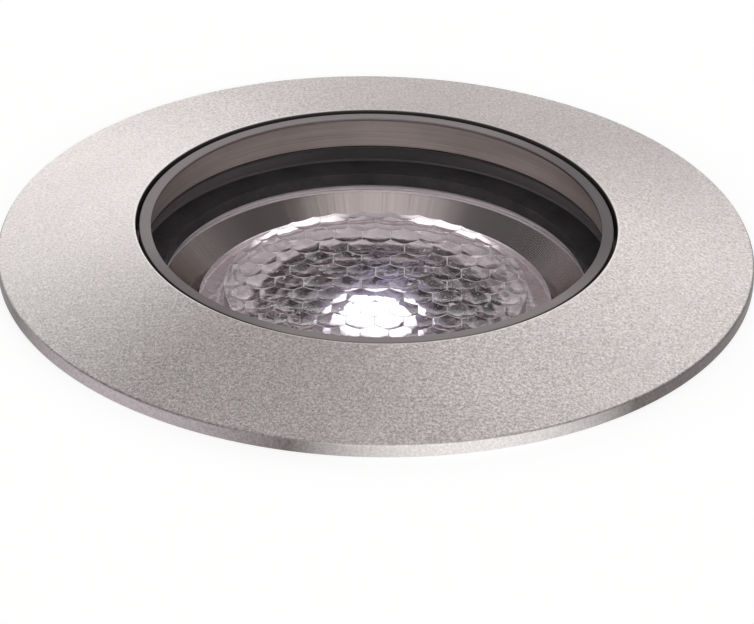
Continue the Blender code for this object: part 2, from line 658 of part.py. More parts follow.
def housing_tube():
    groove = RETAINER_RADIUS + FIT_GAP
    corners = [
        (HOUSING_RADIUS, HOUSING_TOP),
        (HOUSING_RADIUS, HOUSING_BOTTOM),
        (HOUSING_BORE_RADIUS, HOUSING_BOTTOM),
        (HOUSING_BORE_RADIUS, RETAINER_BOTTOM - SEAT_GAP),
        (groove, RETAINER_BOTTOM - SEAT_GAP),
        (groove, SINK_BOTTOM),
        (HOUSING_BORE_RADIUS, SINK_BOTTOM),
        (HOUSING_BORE_RADIUS, STOP_LIP_BOTTOM),
        (STOP_LIP_RADIUS, STOP_LIP_BOTTOM),
        (STOP_LIP_RADIUS, GLASS_SHOULDER),
        (GLASS_SEAT_RADIUS, GLASS_SHOULDER),
        (GLASS_SEAT_RADIUS, HOUSING_TOP),
    ]
    housing = turned("housing_tube", corners, CAST_ALUMINIUM)
    flat_height = BRACKET_RISE + BRACKET_DROP + 2 * FIT_GAP
    flat_depth = HOUSING_RADIUS - CLIP_FLAT_RADIUS + CUT_OVERRUN
    for index, turn in enumerate(clip_turns()):
        centre = (
            CLIP_FLAT_RADIUS + flat_depth / 2,
            0,
            (BRACKET_RISE - BRACKET_DROP) / 2 - PIVOT_DEPTH,
        )
        size = (flat_depth, HOUSING_RADIUS, flat_height)
        flat = block(f"clip_flat_{index + 1}", size, centre, None, cutters)
        flat.rotation_euler = (0, 0, turn)
        cut(housing, flat)
        radial_hole(
            housing,
            f"clip_screw_hole_{index + 1}",
            CLIP_SCREW["shank"] + FIT_GAP,
            HOUSING_BORE_RADIUS - CUT_OVERRUN,
            HOUSING_RADIUS + CUT_OVERRUN,
            turn,
            CLIP_SCREW_RISE - PIVOT_DEPTH,
        )
    for index, turn in enumerate(turns(FIRST_SCREW_TURN)):
        radial_hole(
            housing,
            f"cap_screw_hole_{index + 1}",
            CAP_SCREW["shank"] + FIT_GAP,
            HOUSING_BORE_RADIUS - CUT_OVERRUN,
            HOUSING_RADIUS + CUT_OVERRUN,
            turn,
            PLUG_TOP - CAP_SCREW_DEPTH,
        )


def lens_profile():
    """The lens before its face is cut: under the rim, a bowl narrows to the foot round the LED."""
    blank_top = LENS_FACE_TOP + FACET_RISE + FIT_GAP
    corners = [
        (0, blank_top),
        (LENS_FACE_RADIUS, blank_top),
        (LENS_FACE_RADIUS, LENS_RIM_TOP),
        (LENS_RIM_RADIUS, LENS_RIM_TOP),
        (LENS_RIM_RADIUS, LENS_RIM_BOTTOM),
        (LENS_FACE_RADIUS, LENS_RIM_BOTTOM),
    ]
    for step in range(1, LENS_CURVE_POINTS + 1):
        share = step / LENS_CURVE_POINTS
        radius = LENS_FACE_RADIUS + (LENS_FOOT_RADIUS - LENS_FACE_RADIUS) * share**1.5
        corners.append((radius, LENS_RIM_BOTTOM - LENS_BODY_DEPTH * share))
    corners += [
        (LED_HOLLOW_RADIUS, LENS_BOTTOM),
        (LED_HOLLOW_RADIUS, LENS_BOTTOM + LED_HOLLOW_DEPTH),
        (0, LENS_BOTTOM + LED_HOLLOW_DEPTH),
    ]
    return corners


def honeycomb_cutter():
    """A slab whose underside comes to a blunt point over each six-sided facet, and makes it hollow."""
    corner_level = LENS_FACE_TOP + FACET_RISE
    row_pitch = FACET_PITCH * math.sin(math.radians(60))
    reach = LENS_FACE_RADIUS + FACET_PITCH
    rows = math.ceil(reach / row_pitch)
    columns = math.ceil(reach / FACET_PITCH) + 1
    shape = bmesh.new()
    for row in range(-rows, rows + 1):
        for column in range(-columns, columns + 1):
            centre = Vector(((column + row % 2 / 2) * FACET_PITCH, row * row_pitch, corner_level))
            if centre.xy.length > reach:
                continue
            bmesh.ops.create_circle(
                shape,
                cap_ends=True,
                segments=HEX_STEPS,
                radius=row_pitch / 1.5,
                matrix=Matrix.Translation(centre),
            )
    bmesh.ops.remove_doubles(shape, verts=shape.verts, dist=FACET_PITCH / 100)
    poked = bmesh.ops.poke(shape, faces=list(shape.faces))
    bmesh.ops.translate(shape, verts=poked["verts"], vec=(0, 0, -FACET_RISE))
    raised = bmesh.ops.extrude_face_region(shape, geom=list(shape.faces))
    for item in raised["geom"]:
        if isinstance(item, bmesh.types.BMVert):
            item.co.z = corner_level + CUT_OVERRUN
    bmesh.ops.recalc_face_normals(shape, faces=shape.faces)
    mesh = bpy.data.meshes.new("honeycomb")
    shape.to_mesh(mesh)
    shape.free()
    return add_object("honeycomb", mesh, None, cutters)


def lens_and_holder():
    lens = turned("honeycomb_lens", lens_profile(), CLEAR_PLASTIC, closed=False)
    cut(lens, honeycomb_cutter())
    collar_bottom = HOLDER_TOP - HOLDER_COLLAR_HEIGHT
    inner = LENS_FACE_RADIUS + FIT_GAP
    corners = [
        (HOLDER_RADIUS, HOLDER_TOP),
        (HOLDER_RADIUS, collar_bottom),
        (inner + HOLDER_WALL, collar_bottom),
        (inner + HOLDER_WALL, HOLDER_BOTTOM),
        (inner, HOLDER_BOTTOM),
        (inner, HOLDER_TOP),
    ]
    turned("lens_holder", corners, BLACK_PLASTIC)


def reflector_cup():
    cone_bottom = CUP_TOP - CUP_CONE_DEPTH
    skirt = CARTRIDGE_RADIUS - CUP_WALL
    corners = [
        (CARTRIDGE_RADIUS, CUP_TOP),
        (CARTRIDGE_RADIUS, SINK_TOP + SEAT_GAP),
        (skirt, SINK_TOP + SEAT_GAP),
        (skirt, CUP_TOP - CUP_WALL * 2),
        (CUP_THROAT_RADIUS, cone_bottom - CUP_WALL),
        (CUP_THROAT_RADIUS, cone_bottom),
        (CUP_OPENING_RADIUS, CUP_TOP),
    ]
    turned("reflector_cup", corners, SATIN_ALUMINIUM)


def board_screw_turns():
    return turns(0, BOARD_SCREW_COUNT)


def led_board():
    board = rod(
        "led_board", LED_BOARD_RADIUS, LED_BOARD_BOTTOM, LED_BOARD_TOP, WHITE_MASK, RING_STEPS
    )
    pad = rod(
        "thermal_pad",
        LED_BOARD_RADIUS,
        PAD_TOP - PAD_THICKNESS,
        PAD_TOP,
        GREY_PAD,
        RING_STEPS,
    )
    for index, turn in enumerate(board_screw_turns()):
        place = on_ring(BOARD_SCREW_RING, turn, 0)
        low = SINK_TOP - SINK_BASE
        high = LED_BOARD_TOP + CUT_OVERRUN
        for target in (board, pad):
            name = f"{target.name}_screw_hole_{index + 1}"
            hole(target, name, SMALL_SCREW["shank"] + FIT_GAP, place, low, high, SCREW_STEPS)
        fixing = screw(f"led_board_screw_{index + 1}", SMALL_SCREW, BOARD_SCREW_LENGTH)
        fixing.location = (place.x, place.y, LED_BOARD_TOP + SEAT_GAP)


def led():
    low = LED_BOARD_TOP + SEAT_GAP
    top = low + LED_HEIGHT
    block("led_package", (LED_SIDE, LED_SIDE, LED_HEIGHT), (0, 0, (low + top) / 2), PHOSPHOR)
    foot = top + SEAT_GAP
    corners = [(0, foot + LED_DOME_RADIUS)]
    for step in range(1, HEX_STEPS + 1):
        turn = math.radians(90) * step / HEX_STEPS
        corners.append(
            (LED_DOME_RADIUS * math.sin(turn), foot + LED_DOME_RADIUS * math.cos(turn))
        )
    corners.append((0, foot))
    turned("led_dome", corners, CLEAR_SILICONE, SMALL_STEPS, closed=False)


def slot_places():
    """X of the heat sink's slots, which lie in pairs each side of a fin on the axis."""
    places = []
    for pair in range(SLOT_PAIRS):
        offset = (pair + 0.5) * SLOT_PITCH
        if offset < CARTRIDGE_RADIUS:
            places += [-offset, offset]
    return places


def lead_place(side):
    x = side * SLOT_PITCH / 2
    return Vector((x, math.sqrt(LEAD_RING**2 - x**2), 0))


def heat_sink():
    sink = rod("heat_sink", CARTRIDGE_RADIUS, SINK_BOTTOM, SINK_TOP, CAST_ALUMINIUM, RING_STEPS)
    slot_low = SINK_BOTTOM - CUT_OVERRUN
    slot_high = SINK_TOP - SINK_BASE
    for index, x in enumerate(slot_places()):
        size = (SLOT_WIDTH, 2 * HOUSING_RADIUS, slot_high - slot_low)
        centre = (x, 0, (slot_high + slot_low) / 2)
        cut(sink, block(f"sink_slot_{index + 1}", size, centre, None, cutters))
    for index, side in enumerate((-1, 1)):
        hole(
            sink,
            f"lead_hole_{index + 1}",
            LEAD_HOLE_RADIUS,
            lead_place(side),
            slot_high - CUT_OVERRUN,
            SINK_TOP + CUT_OVERRUN,
            SCREW_STEPS,
        )
    for index, turn in enumerate(board_screw_turns()):
        hole(
            sink,
            f"sink_screw_hole_{index + 1}",
            SMALL_SCREW["shank"] + FIT_GAP,
            on_ring(BOARD_SCREW_RING, turn, 0),
            LED_BOARD_TOP - BOARD_SCREW_LENGTH - FIT_GAP,
            SINK_TOP + CUT_OVERRUN,
            SCREW_STEPS,
        )


def retaining_ring():
    ring = tube(
        "retaining_ring",
        RETAINER_RADIUS,
        RETAINER_RADIUS - RETAINER_WIDTH,
        RETAINER_TOP,
        RETAINER_BOTTOM,
        SPRING_STEEL,
    )
    size = (RETAINER_OPENING, HOUSING_RADIUS, RETAINER_THICKNESS + 2 * CUT_OVERRUN)
    centre = (0, -HOUSING_RADIUS, (RETAINER_TOP + RETAINER_BOTTOM) / 2)
    cut(ring, block("retaining_ring_opening", size, centre, None, cutters))


def back_cap():
    seal_middle = PLUG_TOP - CAP_SEAL_DEPTH
    seal_radius = CARTRIDGE_RADIUS - CAP_SEAL_WIRE
    groove = seal_radius - CAP_SEAL_WIRE - FIT_GAP
    half = CAP_GROOVE_WIDTH / 2
    corners = [
        (CARTRIDGE_RADIUS, PLUG_TOP),
        (CARTRIDGE_RADIUS, seal_middle + half),
        (groove, seal_middle + half),
        (groove, seal_middle - half),
        (CARTRIDGE_RADIUS, seal_middle - half),
        (CARTRIDGE_RADIUS, CAP_TOP),
        (HOUSING_RADIUS, CAP_TOP),
        (HOUSING_RADIUS, CAP_BOTTOM, CAP_CHAMFER),
        (CAP_HOLE_RADIUS, CAP_BOTTOM),
        (CAP_HOLE_RADIUS, PLUG_TOP),
    ]
    cap = turned("back_cap", corners, CAST_ALUMINIUM)
    for index, turn in enumerate(turns(FIRST_SCREW_TURN)):
        height = PLUG_TOP - CAP_SCREW_DEPTH
        radial_hole(
            cap,
            f"plug_screw_hole_{index + 1}",
            CAP_SCREW["shank"] + FIT_GAP,
            HOUSING_RADIUS - CAP_SCREW_LENGTH - FIT_GAP,
            CARTRIDGE_RADIUS + CUT_OVERRUN,
            turn,
            height,
        )
        fixing = screw(f"cap_screw_{index + 1}", CAP_SCREW, CAP_SCREW_LENGTH)
        fixing.rotation_euler = (0, math.radians(90), turn)
        fixing.location = on_ring(HOUSING_RADIUS + SEAT_GAP, turn, height)
    ring = [
        (
            seal_radius + CAP_SEAL_WIRE * math.cos(step * math.tau / HEX_STEPS),
            seal_middle - CAP_SEAL_WIRE * math.sin(step * math.tau / HEX_STEPS),
        )
        for step in range(HEX_STEPS)
    ]
    turned("cap_seal_ring", ring, BLACK_RUBBER)


def set_screws():
    for index, turn in enumerate(turns(FIRST_SCREW_TURN)):
        tip = HOUSING_RADIUS + SEAT_GAP
        tail = COLLAR_RADIUS - SET_SCREW_SINK
        socket = SET_SCREW_RADIUS * SOCKET_SHARE
        floor = (tip + tail) / 2
        corners = [
            (0, floor),
            (socket, floor),
            (socket, tail),
            (SET_SCREW_RADIUS, tail),
            (SET_SCREW_RADIUS, tip),
            (0, tip),
        ]
        name = f"set_screw_{index + 1}"
        fixing = turned(name, corners, SPRING_STEEL, SCREW_STEPS, closed=False)
        fixing.rotation_euler = (0, math.radians(90), turn)
        fixing.location = (0, 0, -SET_SCREW_DEPTH)


def driver_board():
    board = rod("driver_board", DRIVER_RADIUS, DRIVER_BOTTOM, DRIVER_TOP, GREEN_MASK, RING_STEPS)
    low = DRIVER_BOTTOM - CUT_OVERRUN
    high = DRIVER_TOP + CUT_OVERRUN
    hole(board, "cable_notch", DRIVER_NOTCH_RADIUS, (-DRIVER_RADIUS, 0), low, high)
    for index, turn in enumerate(turns(FIRST_SCREW_TURN)):
        place = on_ring(STANDOFF_RING, turn, 0)
        name = f"driver_screw_hole_{index + 1}"
        hole(board, name, BOARD_SCREW["shank"] + FIT_GAP, place, low, high, SCREW_STEPS)
        post = tube(
            f"driver_standoff_{index + 1}",
            STANDOFF_RADIUS,
            STANDOFF_BORE,
            STANDOFF_TOP,
            STANDOFF_BOTTOM,
            BRIGHT_STEEL,
            HEX_STEPS,
        )
        post.location = (place.x, place.y, 0)
        fixing = screw(f"driver_screw_{index + 1}", BOARD_SCREW, DRIVER_SCREW_LENGTH)
        fixing.location = (place.x, place.y, PART_TOP)


def capacitor():
    top = PART_TOP + CAPACITOR_HEIGHT
    rim = CAPACITOR_RADIUS / 8
    corners = [
        (0, top),
        (CAPACITOR_RADIUS, top, rim),
        (CAPACITOR_RADIUS, PART_TOP + 4 * rim),
        (CAPACITOR_RADIUS - rim, PART_TOP + 3 * rim),
        (CAPACITOR_RADIUS, PART_TOP + 2 * rim),
        (CAPACITOR_RADIUS, PART_TOP),
        (0, PART_TOP),
    ]
    can = turned("driver_capacitor", corners, SATIN_ALUMINIUM, SMALL_STEPS, closed=False)
    can.location = (CAPACITOR_RADIUS + FIT_GAP, -DRIVER_RADIUS / 2, 0)


def inductor():
    top = PART_TOP + INDUCTOR_HEIGHT
    corners = [
        (0, top),
        (INDUCTOR_RADIUS, top),
        (INDUCTOR_RADIUS, top - INDUCTOR_FLANGE),
        (INDUCTOR_CORE_RADIUS, top - INDUCTOR_FLANGE),
        (INDUCTOR_CORE_RADIUS, PART_TOP + INDUCTOR_FLANGE),
        (INDUCTOR_RADIUS, PART_TOP + INDUCTOR_FLANGE),
        (INDUCTOR_RADIUS, PART_TOP),
        (0, PART_TOP),
    ]
    drum = turned("driver_inductor", corners, DARK_FERRITE, SMALL_STEPS, closed=False)
    drum.location = (0, INDUCTOR_RADIUS * 2, 0)


def chip():
    size = (CHIP_LENGTH, CHIP_WIDTH, CHIP_HEIGHT)
    centre = (DRIVER_RADIUS / 2, 0, PART_TOP + CHIP_HEIGHT / 2)
    block("driver_chip", size, centre, BLACK_PLASTIC)


def terminal_block():
    x = -DRIVER_RADIUS / 2 + TERMINAL_WIDTH / 2
    y = -TERMINAL_LENGTH
    size = (TERMINAL_WIDTH, TERMINAL_LENGTH, TERMINAL_HEIGHT)
    centre = (x - TERMINAL_WIDTH / 2, y, PART_TOP + TERMINAL_HEIGHT / 2)
    body = block("terminal_block", size, centre, GREEN_PLASTIC)
    for index, side in enumerate((-1, 1)):
        place = (centre[0], y + side * TERMINAL_PITCH / 2)
        top = PART_TOP + TERMINAL_HEIGHT
        floor = PART_TOP + TERMINAL_HEIGHT / 2
        name = f"terminal_screw_hole_{index + 1}"
        hole(body, name, TERMINAL_HOLE_RADIUS, place, floor, top + CUT_OVERRUN, SCREW_STEPS)


def lead(name, side, material):
    """A lead from the driver board, up a slot and a hole of the heat sink, to the LED board."""
    foot = lead_place(side)
    inner = foot.y - LEAD_INNER_REACH
    start = PART_TOP
    bend_start = LED_BOARD_TOP + LEAD_RADIUS + SEAT_GAP
    slot_top = SINK_TOP - SINK_BASE
    points = [Vector((foot.x, inner, start))]
    rise_from = start + (RETAINER_BOTTOM - start) * LEAD_RISE_SHARE
    points.append(Vector((foot.x, inner, rise_from)))
    shift_from = SINK_BOTTOM + LEAD_INNER_REACH
    shift_to = slot_top - LEAD_INNER_REACH
    for step in range(SCREW_STEPS + 1):
        share = step / SCREW_STEPS
        eased = share * share * (3 - 2 * share)
        y = inner + (foot.y - inner) * eased
        points.append(Vector((foot.x, y, shift_from + (shift_to - shift_from) * share)))
    points.append(Vector((foot.x, foot.y, bend_start - LEAD_BEND)))
    for step in range(HEX_STEPS + 1):
        turn = math.radians(180) * step / HEX_STEPS / 2
        y = foot.y - LEAD_BEND + LEAD_BEND * math.cos(turn)
        points.append(Vector((foot.x, y, bend_start + LEAD_BEND * math.sin(turn) - LEAD_BEND)))
    last = max(LED_BOARD_RADIUS - LEAD_BEND, foot.y - LEAD_INNER_REACH)
    points.append(Vector((foot.x, last - LEAD_BEND, bend_start)))
    wire(name, points, LEAD_RADIUS, material, 2)


def gland():
    locknut_top = PLUG_TOP + SEAT_GAP + LOCKNUT_HEIGHT
    corners = [
        (GLAND_THREAD_RADIUS, locknut_top),
        (GLAND_THREAD_RADIUS, GLAND_HEX_BOTTOM + GLAND_HEX_HEIGHT / 2),
        (GLAND_NECK_RADIUS, GLAND_HEX_BOTTOM + GLAND_HEX_HEIGHT / 2),
        (GLAND_NECK_RADIUS, GLAND_NECK_BOTTOM),
        (GLAND_NECK_BORE, GLAND_NECK_BOTTOM),
        (GLAND_NECK_BORE, GLAND_HEX_BOTTOM),
        (GLAND_BORE, GLAND_HEX_BOTTOM),
        (GLAND_BORE, locknut_top),
    ]
    body = turned("gland_body", corners, BLACK_PLASTIC, SMALL_STEPS)
    wrench = tube(
        "gland_wrench_flats",
        GLAND_HEX_RADIUS,
        (GLAND_BORE + GLAND_NECK_RADIUS) / 2,
        GLAND_HEX_TOP,
        GLAND_HEX_BOTTOM,
        None,
        HEX_STEPS,
        cutters,
    )
    join(body, wrench)
    tube(
        "gland_washer",
        GLAND_WASHER_RADIUS,
        CAP_HOLE_RADIUS,
        WASHER_TOP,
        WASHER_TOP - GLAND_WASHER_THICKNESS,
        BLACK_RUBBER,
        SMALL_STEPS,
    )
    nut = rod(
        "gland_locknut",
        LOCKNUT_RADIUS,
        PLUG_TOP + SEAT_GAP,
        locknut_top,
        BLACK_PLASTIC,
        HEX_STEPS,
    )
    hole(
        nut,
        "locknut_hole",
        GLAND_THREAD_RADIUS + FIT_GAP,
        (0, 0),
        PLUG_TOP - CUT_OVERRUN,
        locknut_top + CUT_OVERRUN,
    )


def gland_seal_and_nut():
    head_top = GLAND_NECK_BOTTOM - SEAT_GAP
    corners = [
        (GLAND_SLEEVE_RADIUS, GLAND_HEX_BOTTOM - SEAT_GAP),
        (GLAND_SLEEVE_RADIUS, head_top),
        (GLAND_NECK_RADIUS, head_top),
        (GLAND_SLEEVE_RADIUS, GLAND_SEAL_BOTTOM),
        (CABLE_BORE, GLAND_SEAL_BOTTOM),
        (CABLE_BORE, GLAND_HEX_BOTTOM - SEAT_GAP),
    ]
    turned("gland_seal", corners, BLACK_RUBBER, SMALL_STEPS)
    dome_bottom = GLAND_NUT_BOTTOM + GLAND_NUT_WALL
    shoulder = GLAND_SEAL_BOTTOM - FIT_GAP
    corners = [
        (GLAND_DOME_RADIUS, GLAND_NUT_TOP),
        (GLAND_DOME_RADIUS, dome_bottom + GLAND_NUT_WALL),
        (GLAND_DOME_RADIUS - GLAND_NUT_WALL / 3, dome_bottom),
        (GLAND_NUT_BORE, GLAND_NUT_BOTTOM),
        (GLAND_NUT_MOUTH, GLAND_NUT_BOTTOM),
        (GLAND_NUT_MOUTH, shoulder),
        (GLAND_NUT_BORE, shoulder),
        (GLAND_NUT_BORE, GLAND_NUT_TOP),
    ]
    nut = turned("gland_nut", corners, BLACK_PLASTIC, SMALL_STEPS)
    flats = tube(
        "gland_nut_flats",
        GLAND_NUT_RADIUS,
        (GLAND_NUT_BORE + GLAND_DOME_RADIUS) / 2,
        GLAND_NUT_TOP,
        GLAND_NUT_TOP - GLAND_NUT_HEX_HEIGHT,
        None,
        HEX_STEPS,
        cutters,
    )
    join(nut, flats)


def clip_empty(index, turn):
    """An empty on the clip's pivot, its X outwards and its Y along the pin."""
    pivot = bpy.data.objects.new(f"clip_pivot_{index}", None)
    pivot.location = on_ring(PIVOT_RADIUS, turn, -PIVOT_DEPTH)
    pivot.rotation_euler = (0, 0, turn)
    parts.objects.link(pivot)
    return pivot


def follow(pivot, *objects):
    for obj in objects:
        obj.parent = pivot


def clip_bracket(index, pivot):
    back = SEAT_GAP - PIVOT_STANDOFF
    front = back + BRACKET_WALL
    corners = [
        (back, BRACKET_RISE),
        (front, BRACKET_RISE),
        (front, EAR_RADIUS),
        (EAR_RADIUS, EAR_RADIUS, EAR_RADIUS / 2),
        (EAR_RADIUS, -EAR_RADIUS, EAR_RADIUS / 2),
        (front, -BRACKET_DROP),
        (back, -BRACKET_DROP),
    ]
    bracket = sideways_plate(f"clip_bracket_{index}", corners, BRACKET_WIDTH, BRIGHT_STEEL)
    height = BRACKET_RISE + BRACKET_DROP
    size = (2 * PIVOT_STANDOFF, BRACKET_WIDTH - 2 * BRACKET_WALL, 2 * height)
    space = block(
        f"bracket_space_{index}", size, (front + PIVOT_STANDOFF, 0, 0), None, cutters
    )
    bore = rod(
        f"bracket_pin_hole_{index}",
        PIN_RADIUS + FIT_GAP,
        -BRACKET_WIDTH,
        BRACKET_WIDTH,
        None,
        SCREW_STEPS,
        cutters,
    )
    bore.rotation_euler = (math.radians(90), 0, 0)
    drill = rod(
        f"bracket_screw_hole_{index}",
        CLIP_SCREW["shank"] + FIT_GAP,
        back - CUT_OVERRUN,
        front + CUT_OVERRUN,
        None,
        SCREW_STEPS,
        cutters,
    )
    drill.rotation_euler = (0, math.radians(90), 0)
    drill.location = (0, 0, CLIP_SCREW_RISE)
    fixing = screw(f"clip_screw_{index}", CLIP_SCREW, CLIP_SCREW_LENGTH)
    fixing.rotation_euler = (0, math.radians(90), 0)
    fixing.location = (front + SEAT_GAP, 0, CLIP_SCREW_RISE)
    for cutter in (space, bore, drill):
        cut(bracket, cutter)
    follow(pivot, bracket, space, bore, drill, fixing)


def clip_pin(index, pivot):
    head = BRACKET_WIDTH / 2 + SEAT_GAP
    corners = [
        (0, head + PIN_HEAD_THICKNESS),
        (PIN_HEAD_RADIUS, head + PIN_HEAD_THICKNESS),
        (PIN_HEAD_RADIUS, head),
        (PIN_RADIUS, head),
        (PIN_RADIUS, -head),
        (PIN_HEAD_RADIUS, -head),
        (PIN_HEAD_RADIUS, -head - PIN_HEAD_THICKNESS),
        (0, -head - PIN_HEAD_THICKNESS),
    ]
    pin = turned(f"clip_pin_{index}", corners, BRIGHT_STEEL, SCREW_STEPS, closed=False)
    pin.rotation_euler = (math.radians(90), 0, 0)
    follow(pivot, pin)


def clip_arm(index, pivot):
    half = ARM_THICKNESS / 2
    bend = ARM_LENGTH - ARM_TIP_REACH
    root = math.asin(half / KNUCKLE_RADIUS)
    corners = [
        (-half, bend, ARM_THICKNESS),
        (-half - ARM_TIP_REACH, bend + half),
        (-half - ARM_TIP_REACH, bend + half + ARM_THICKNESS),
        (half, bend + ARM_THICKNESS, 2 * ARM_THICKNESS),
    ]
    for step in range(SMALL_STEPS + 1):
        turn = math.radians(90) - root - (math.tau - 2 * root) * step / SMALL_STEPS
        corners.append((KNUCKLE_RADIUS * math.cos(turn), KNUCKLE_RADIUS * math.sin(turn)))
    arm = sideways_plate(f"clip_arm_{index}", corners, ARM_WIDTH, SPRING_STEEL)
    window_low = -KNUCKLE_RADIUS - CUT_OVERRUN
    size = (4 * KNUCKLE_RADIUS, ARM_WINDOW_WIDTH, ARM_WINDOW_LENGTH - window_low)
    centre = (0, 0, (ARM_WINDOW_LENGTH + window_low) / 2)
    window = block(f"arm_window_{index}", size, centre, None, cutters)
    bore = rod(
        f"arm_pin_hole_{index}",
        PIN_RADIUS + FIT_GAP,
        -ARM_WIDTH,
        ARM_WIDTH,
        None,
        SCREW_STEPS,
        cutters,
    )
    bore.rotation_euler = (math.radians(90), 0, 0)
    cut(arm, window)
    cut(arm, bore)
    follow(pivot, arm)
    follow(arm, window, bore)
    arm.rotation_euler = (0, CLIP_OPEN_ANGLE, 0)


def spring_points():
    """The torsion spring round Y: a leg down the bracket, the turns, and a leg out along the arm."""
    half_width = SPRING_WIDTH / 2
    first = math.radians(180)
    sweep = math.tau * SPRING_TURNS + CLIP_OPEN_ANGLE
    count = SPRING_TURN_POINTS * SPRING_TURNS
    coil_points = []
    for step in range(count + 1):
        share = step / count
        turn = first - sweep * share
        y = half_width * (2 * share - 1)
        coil_points.append(
            Vector((SPRING_RADIUS * math.cos(turn), y, SPRING_RADIUS * math.sin(turn)))
        )
    plate = SEAT_GAP - PIVOT_STANDOFF + BRACKET_WALL
    foot = Vector((plate + FIT_GAP + SPRING_WIRE, -half_width, -SPRING_BRACKET_LEG))
    out = Vector((math.sin(CLIP_OPEN_ANGLE), 0, math.cos(CLIP_OPEN_ANGLE)))
    return [foot, *coil_points, coil_points[-1] + out * SPRING_ARM_LEG]


def least_self_gap(points, radius):
    """The least distance between the surfaces of turns that aren't next to each other."""
    near = SPRING_TURN_POINTS // 2
    return min(
        (points[a] - points[b]).length - 2 * radius
        for a in range(len(points))
        for b in range(a + near, len(points))
    )


def clip_spring(index, pivot):
    points = spring_points()
    spring = wire(f"clip_spring_{index}", points, SPRING_WIRE, SPRING_STEEL, 1)
    follow(pivot, spring)
    if index == 1:
        print("spring self-gap, mm:", round(1000 * least_self_gap(points, SPRING_WIRE), 3))


def clips():
    for index, turn in enumerate(clip_turns(), 1):
        pivot = clip_empty(index, turn)
        clip_bracket(index, pivot)
        clip_pin(index, pivot)
        clip_arm(index, pivot)
        clip_spring(index, pivot)


trim_ring()
deck_gasket()
bezel_ring()
glass_and_seals()
housing_tube()
lens_and_holder()
reflector_cup()
led_board()
led()
heat_sink()
retaining_ring()
back_cap()
set_screws()
driver_board()
capacitor()
inductor()
chip()
terminal_block()
lead("lead_red", -1, RED_LEAD)
lead("lead_black", 1, BLACK_LEAD)
gland()
gland_seal_and_nut()
clips()
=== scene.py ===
"""Finished look of the recessed deck light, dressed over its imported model. Metres, +Z up."""

import math

import bmesh
import bpy
from mathutils import Matrix, Vector


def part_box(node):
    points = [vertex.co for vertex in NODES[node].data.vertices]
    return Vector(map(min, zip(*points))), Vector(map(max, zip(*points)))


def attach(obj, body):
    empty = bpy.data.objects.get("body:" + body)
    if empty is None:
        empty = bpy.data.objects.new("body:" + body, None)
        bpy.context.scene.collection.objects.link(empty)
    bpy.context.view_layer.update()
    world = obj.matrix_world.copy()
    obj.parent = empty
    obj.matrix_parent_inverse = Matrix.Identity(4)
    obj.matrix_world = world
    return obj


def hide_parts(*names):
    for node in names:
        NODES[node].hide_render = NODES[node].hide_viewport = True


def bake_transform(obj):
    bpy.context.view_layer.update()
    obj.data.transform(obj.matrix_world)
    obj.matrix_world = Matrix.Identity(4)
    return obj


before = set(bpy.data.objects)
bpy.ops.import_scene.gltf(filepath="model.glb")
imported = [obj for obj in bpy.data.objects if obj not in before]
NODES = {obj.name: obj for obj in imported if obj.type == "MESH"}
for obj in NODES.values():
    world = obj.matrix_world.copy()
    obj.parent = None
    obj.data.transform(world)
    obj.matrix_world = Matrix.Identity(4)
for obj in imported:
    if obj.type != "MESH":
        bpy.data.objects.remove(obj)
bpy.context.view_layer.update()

# Steps of round pieces, small distances, rounding and angles.
TRIM_STEPS = 288
RING_STEPS = 192
SCREW_STEPS = 48
HEX_STEPS = 6
HEX_CORNER_SHARE = 1 / math.cos(math.pi / HEX_STEPS)
NEAR = 0.000001
OVERRUN = 0.001
FINE_ROUND = 0.0001
BEND_SEGMENTS = 5
PLATE_SOFTENING = (2, 50)
QUARTER = math.radians(90)
SLOPE_60 = math.radians(60)

# Shares of a direction: along an axis, level, and upright.
PARALLEL = 0.999
FLAT = 0.99
UPRIGHT = 0.1

# Trim ring and the gasket under it.
TRIM_RADIUS = 0.0381
TRIM_EDGE_HEIGHT = 0.00145
TRIM_BORE = 0.0242
TRIM_CROWN_HEIGHT = 0.00472
TRIM_WALL = 0.0014
TRIM_LAND = 0.0351
TRIM_ROUND = 0.00022
COLLAR_RADIUS = 0.0277
COLLAR_BORE = 0.0257
COLLAR_BOTTOM = -0.007
HUB_BOTTOM = 0.002
GASKET_RADIUS = 0.0348
GASKET_BORE = 0.0303
GASKET_SLACK = 0.0003

# Bezel ring.
LIP_RADIUS = 0.02265
LIP_TOP = 0.00446
LIP_UNDERSIDE = 0.00416
WALL_RADIUS = 0.0235
NECK_RADIUS = 0.02385
FOOT_RADIUS = 0.0254
FOOT_TOP = 0.0019
FOOT_BOTTOM = 0.0008
LIP_ROUND = 0.0001

# Glass and its seals.
GLASS_RADIUS = 0.0244
GLASS_TOP = 0.0003
GLASS_BOTTOM = -0.0037
GLASS_CHAMFER = 0.0003
UPPER_SEAL_BORE = 0.0236
UPPER_SEAL_TOP = 0.0007
UPPER_SEAL_BOTTOM = 0.0004
UPPER_SEAL_ROUND = 0.00008
LOWER_SEAL_TOP = -0.0038
LOWER_SEAL_BOTTOM = -0.0044
SKIRT_RADIUS = 0.0219
SKIRT_BORE = 0.0214
SKIRT_BOTTOM = -0.0051

# Reflector cup. The points of its rim go outwards from the opening and up to the top.
CARTRIDGE_RADIUS = 0.0226
CUP_TOP = -0.0056
CUP_OPENING = 0.0216
CUP_RIM = ((0, -0.00055), (0.00015, -0.00029), (0.0004, -0.00029), (0.0004, -0.00017), (0.0006, 0))
CUP_THROAT = 0.0187
CUP_CONE_BOTTOM = -0.0086
CUP_WALL = 0.0006
CUP_BOTTOM = -0.0179

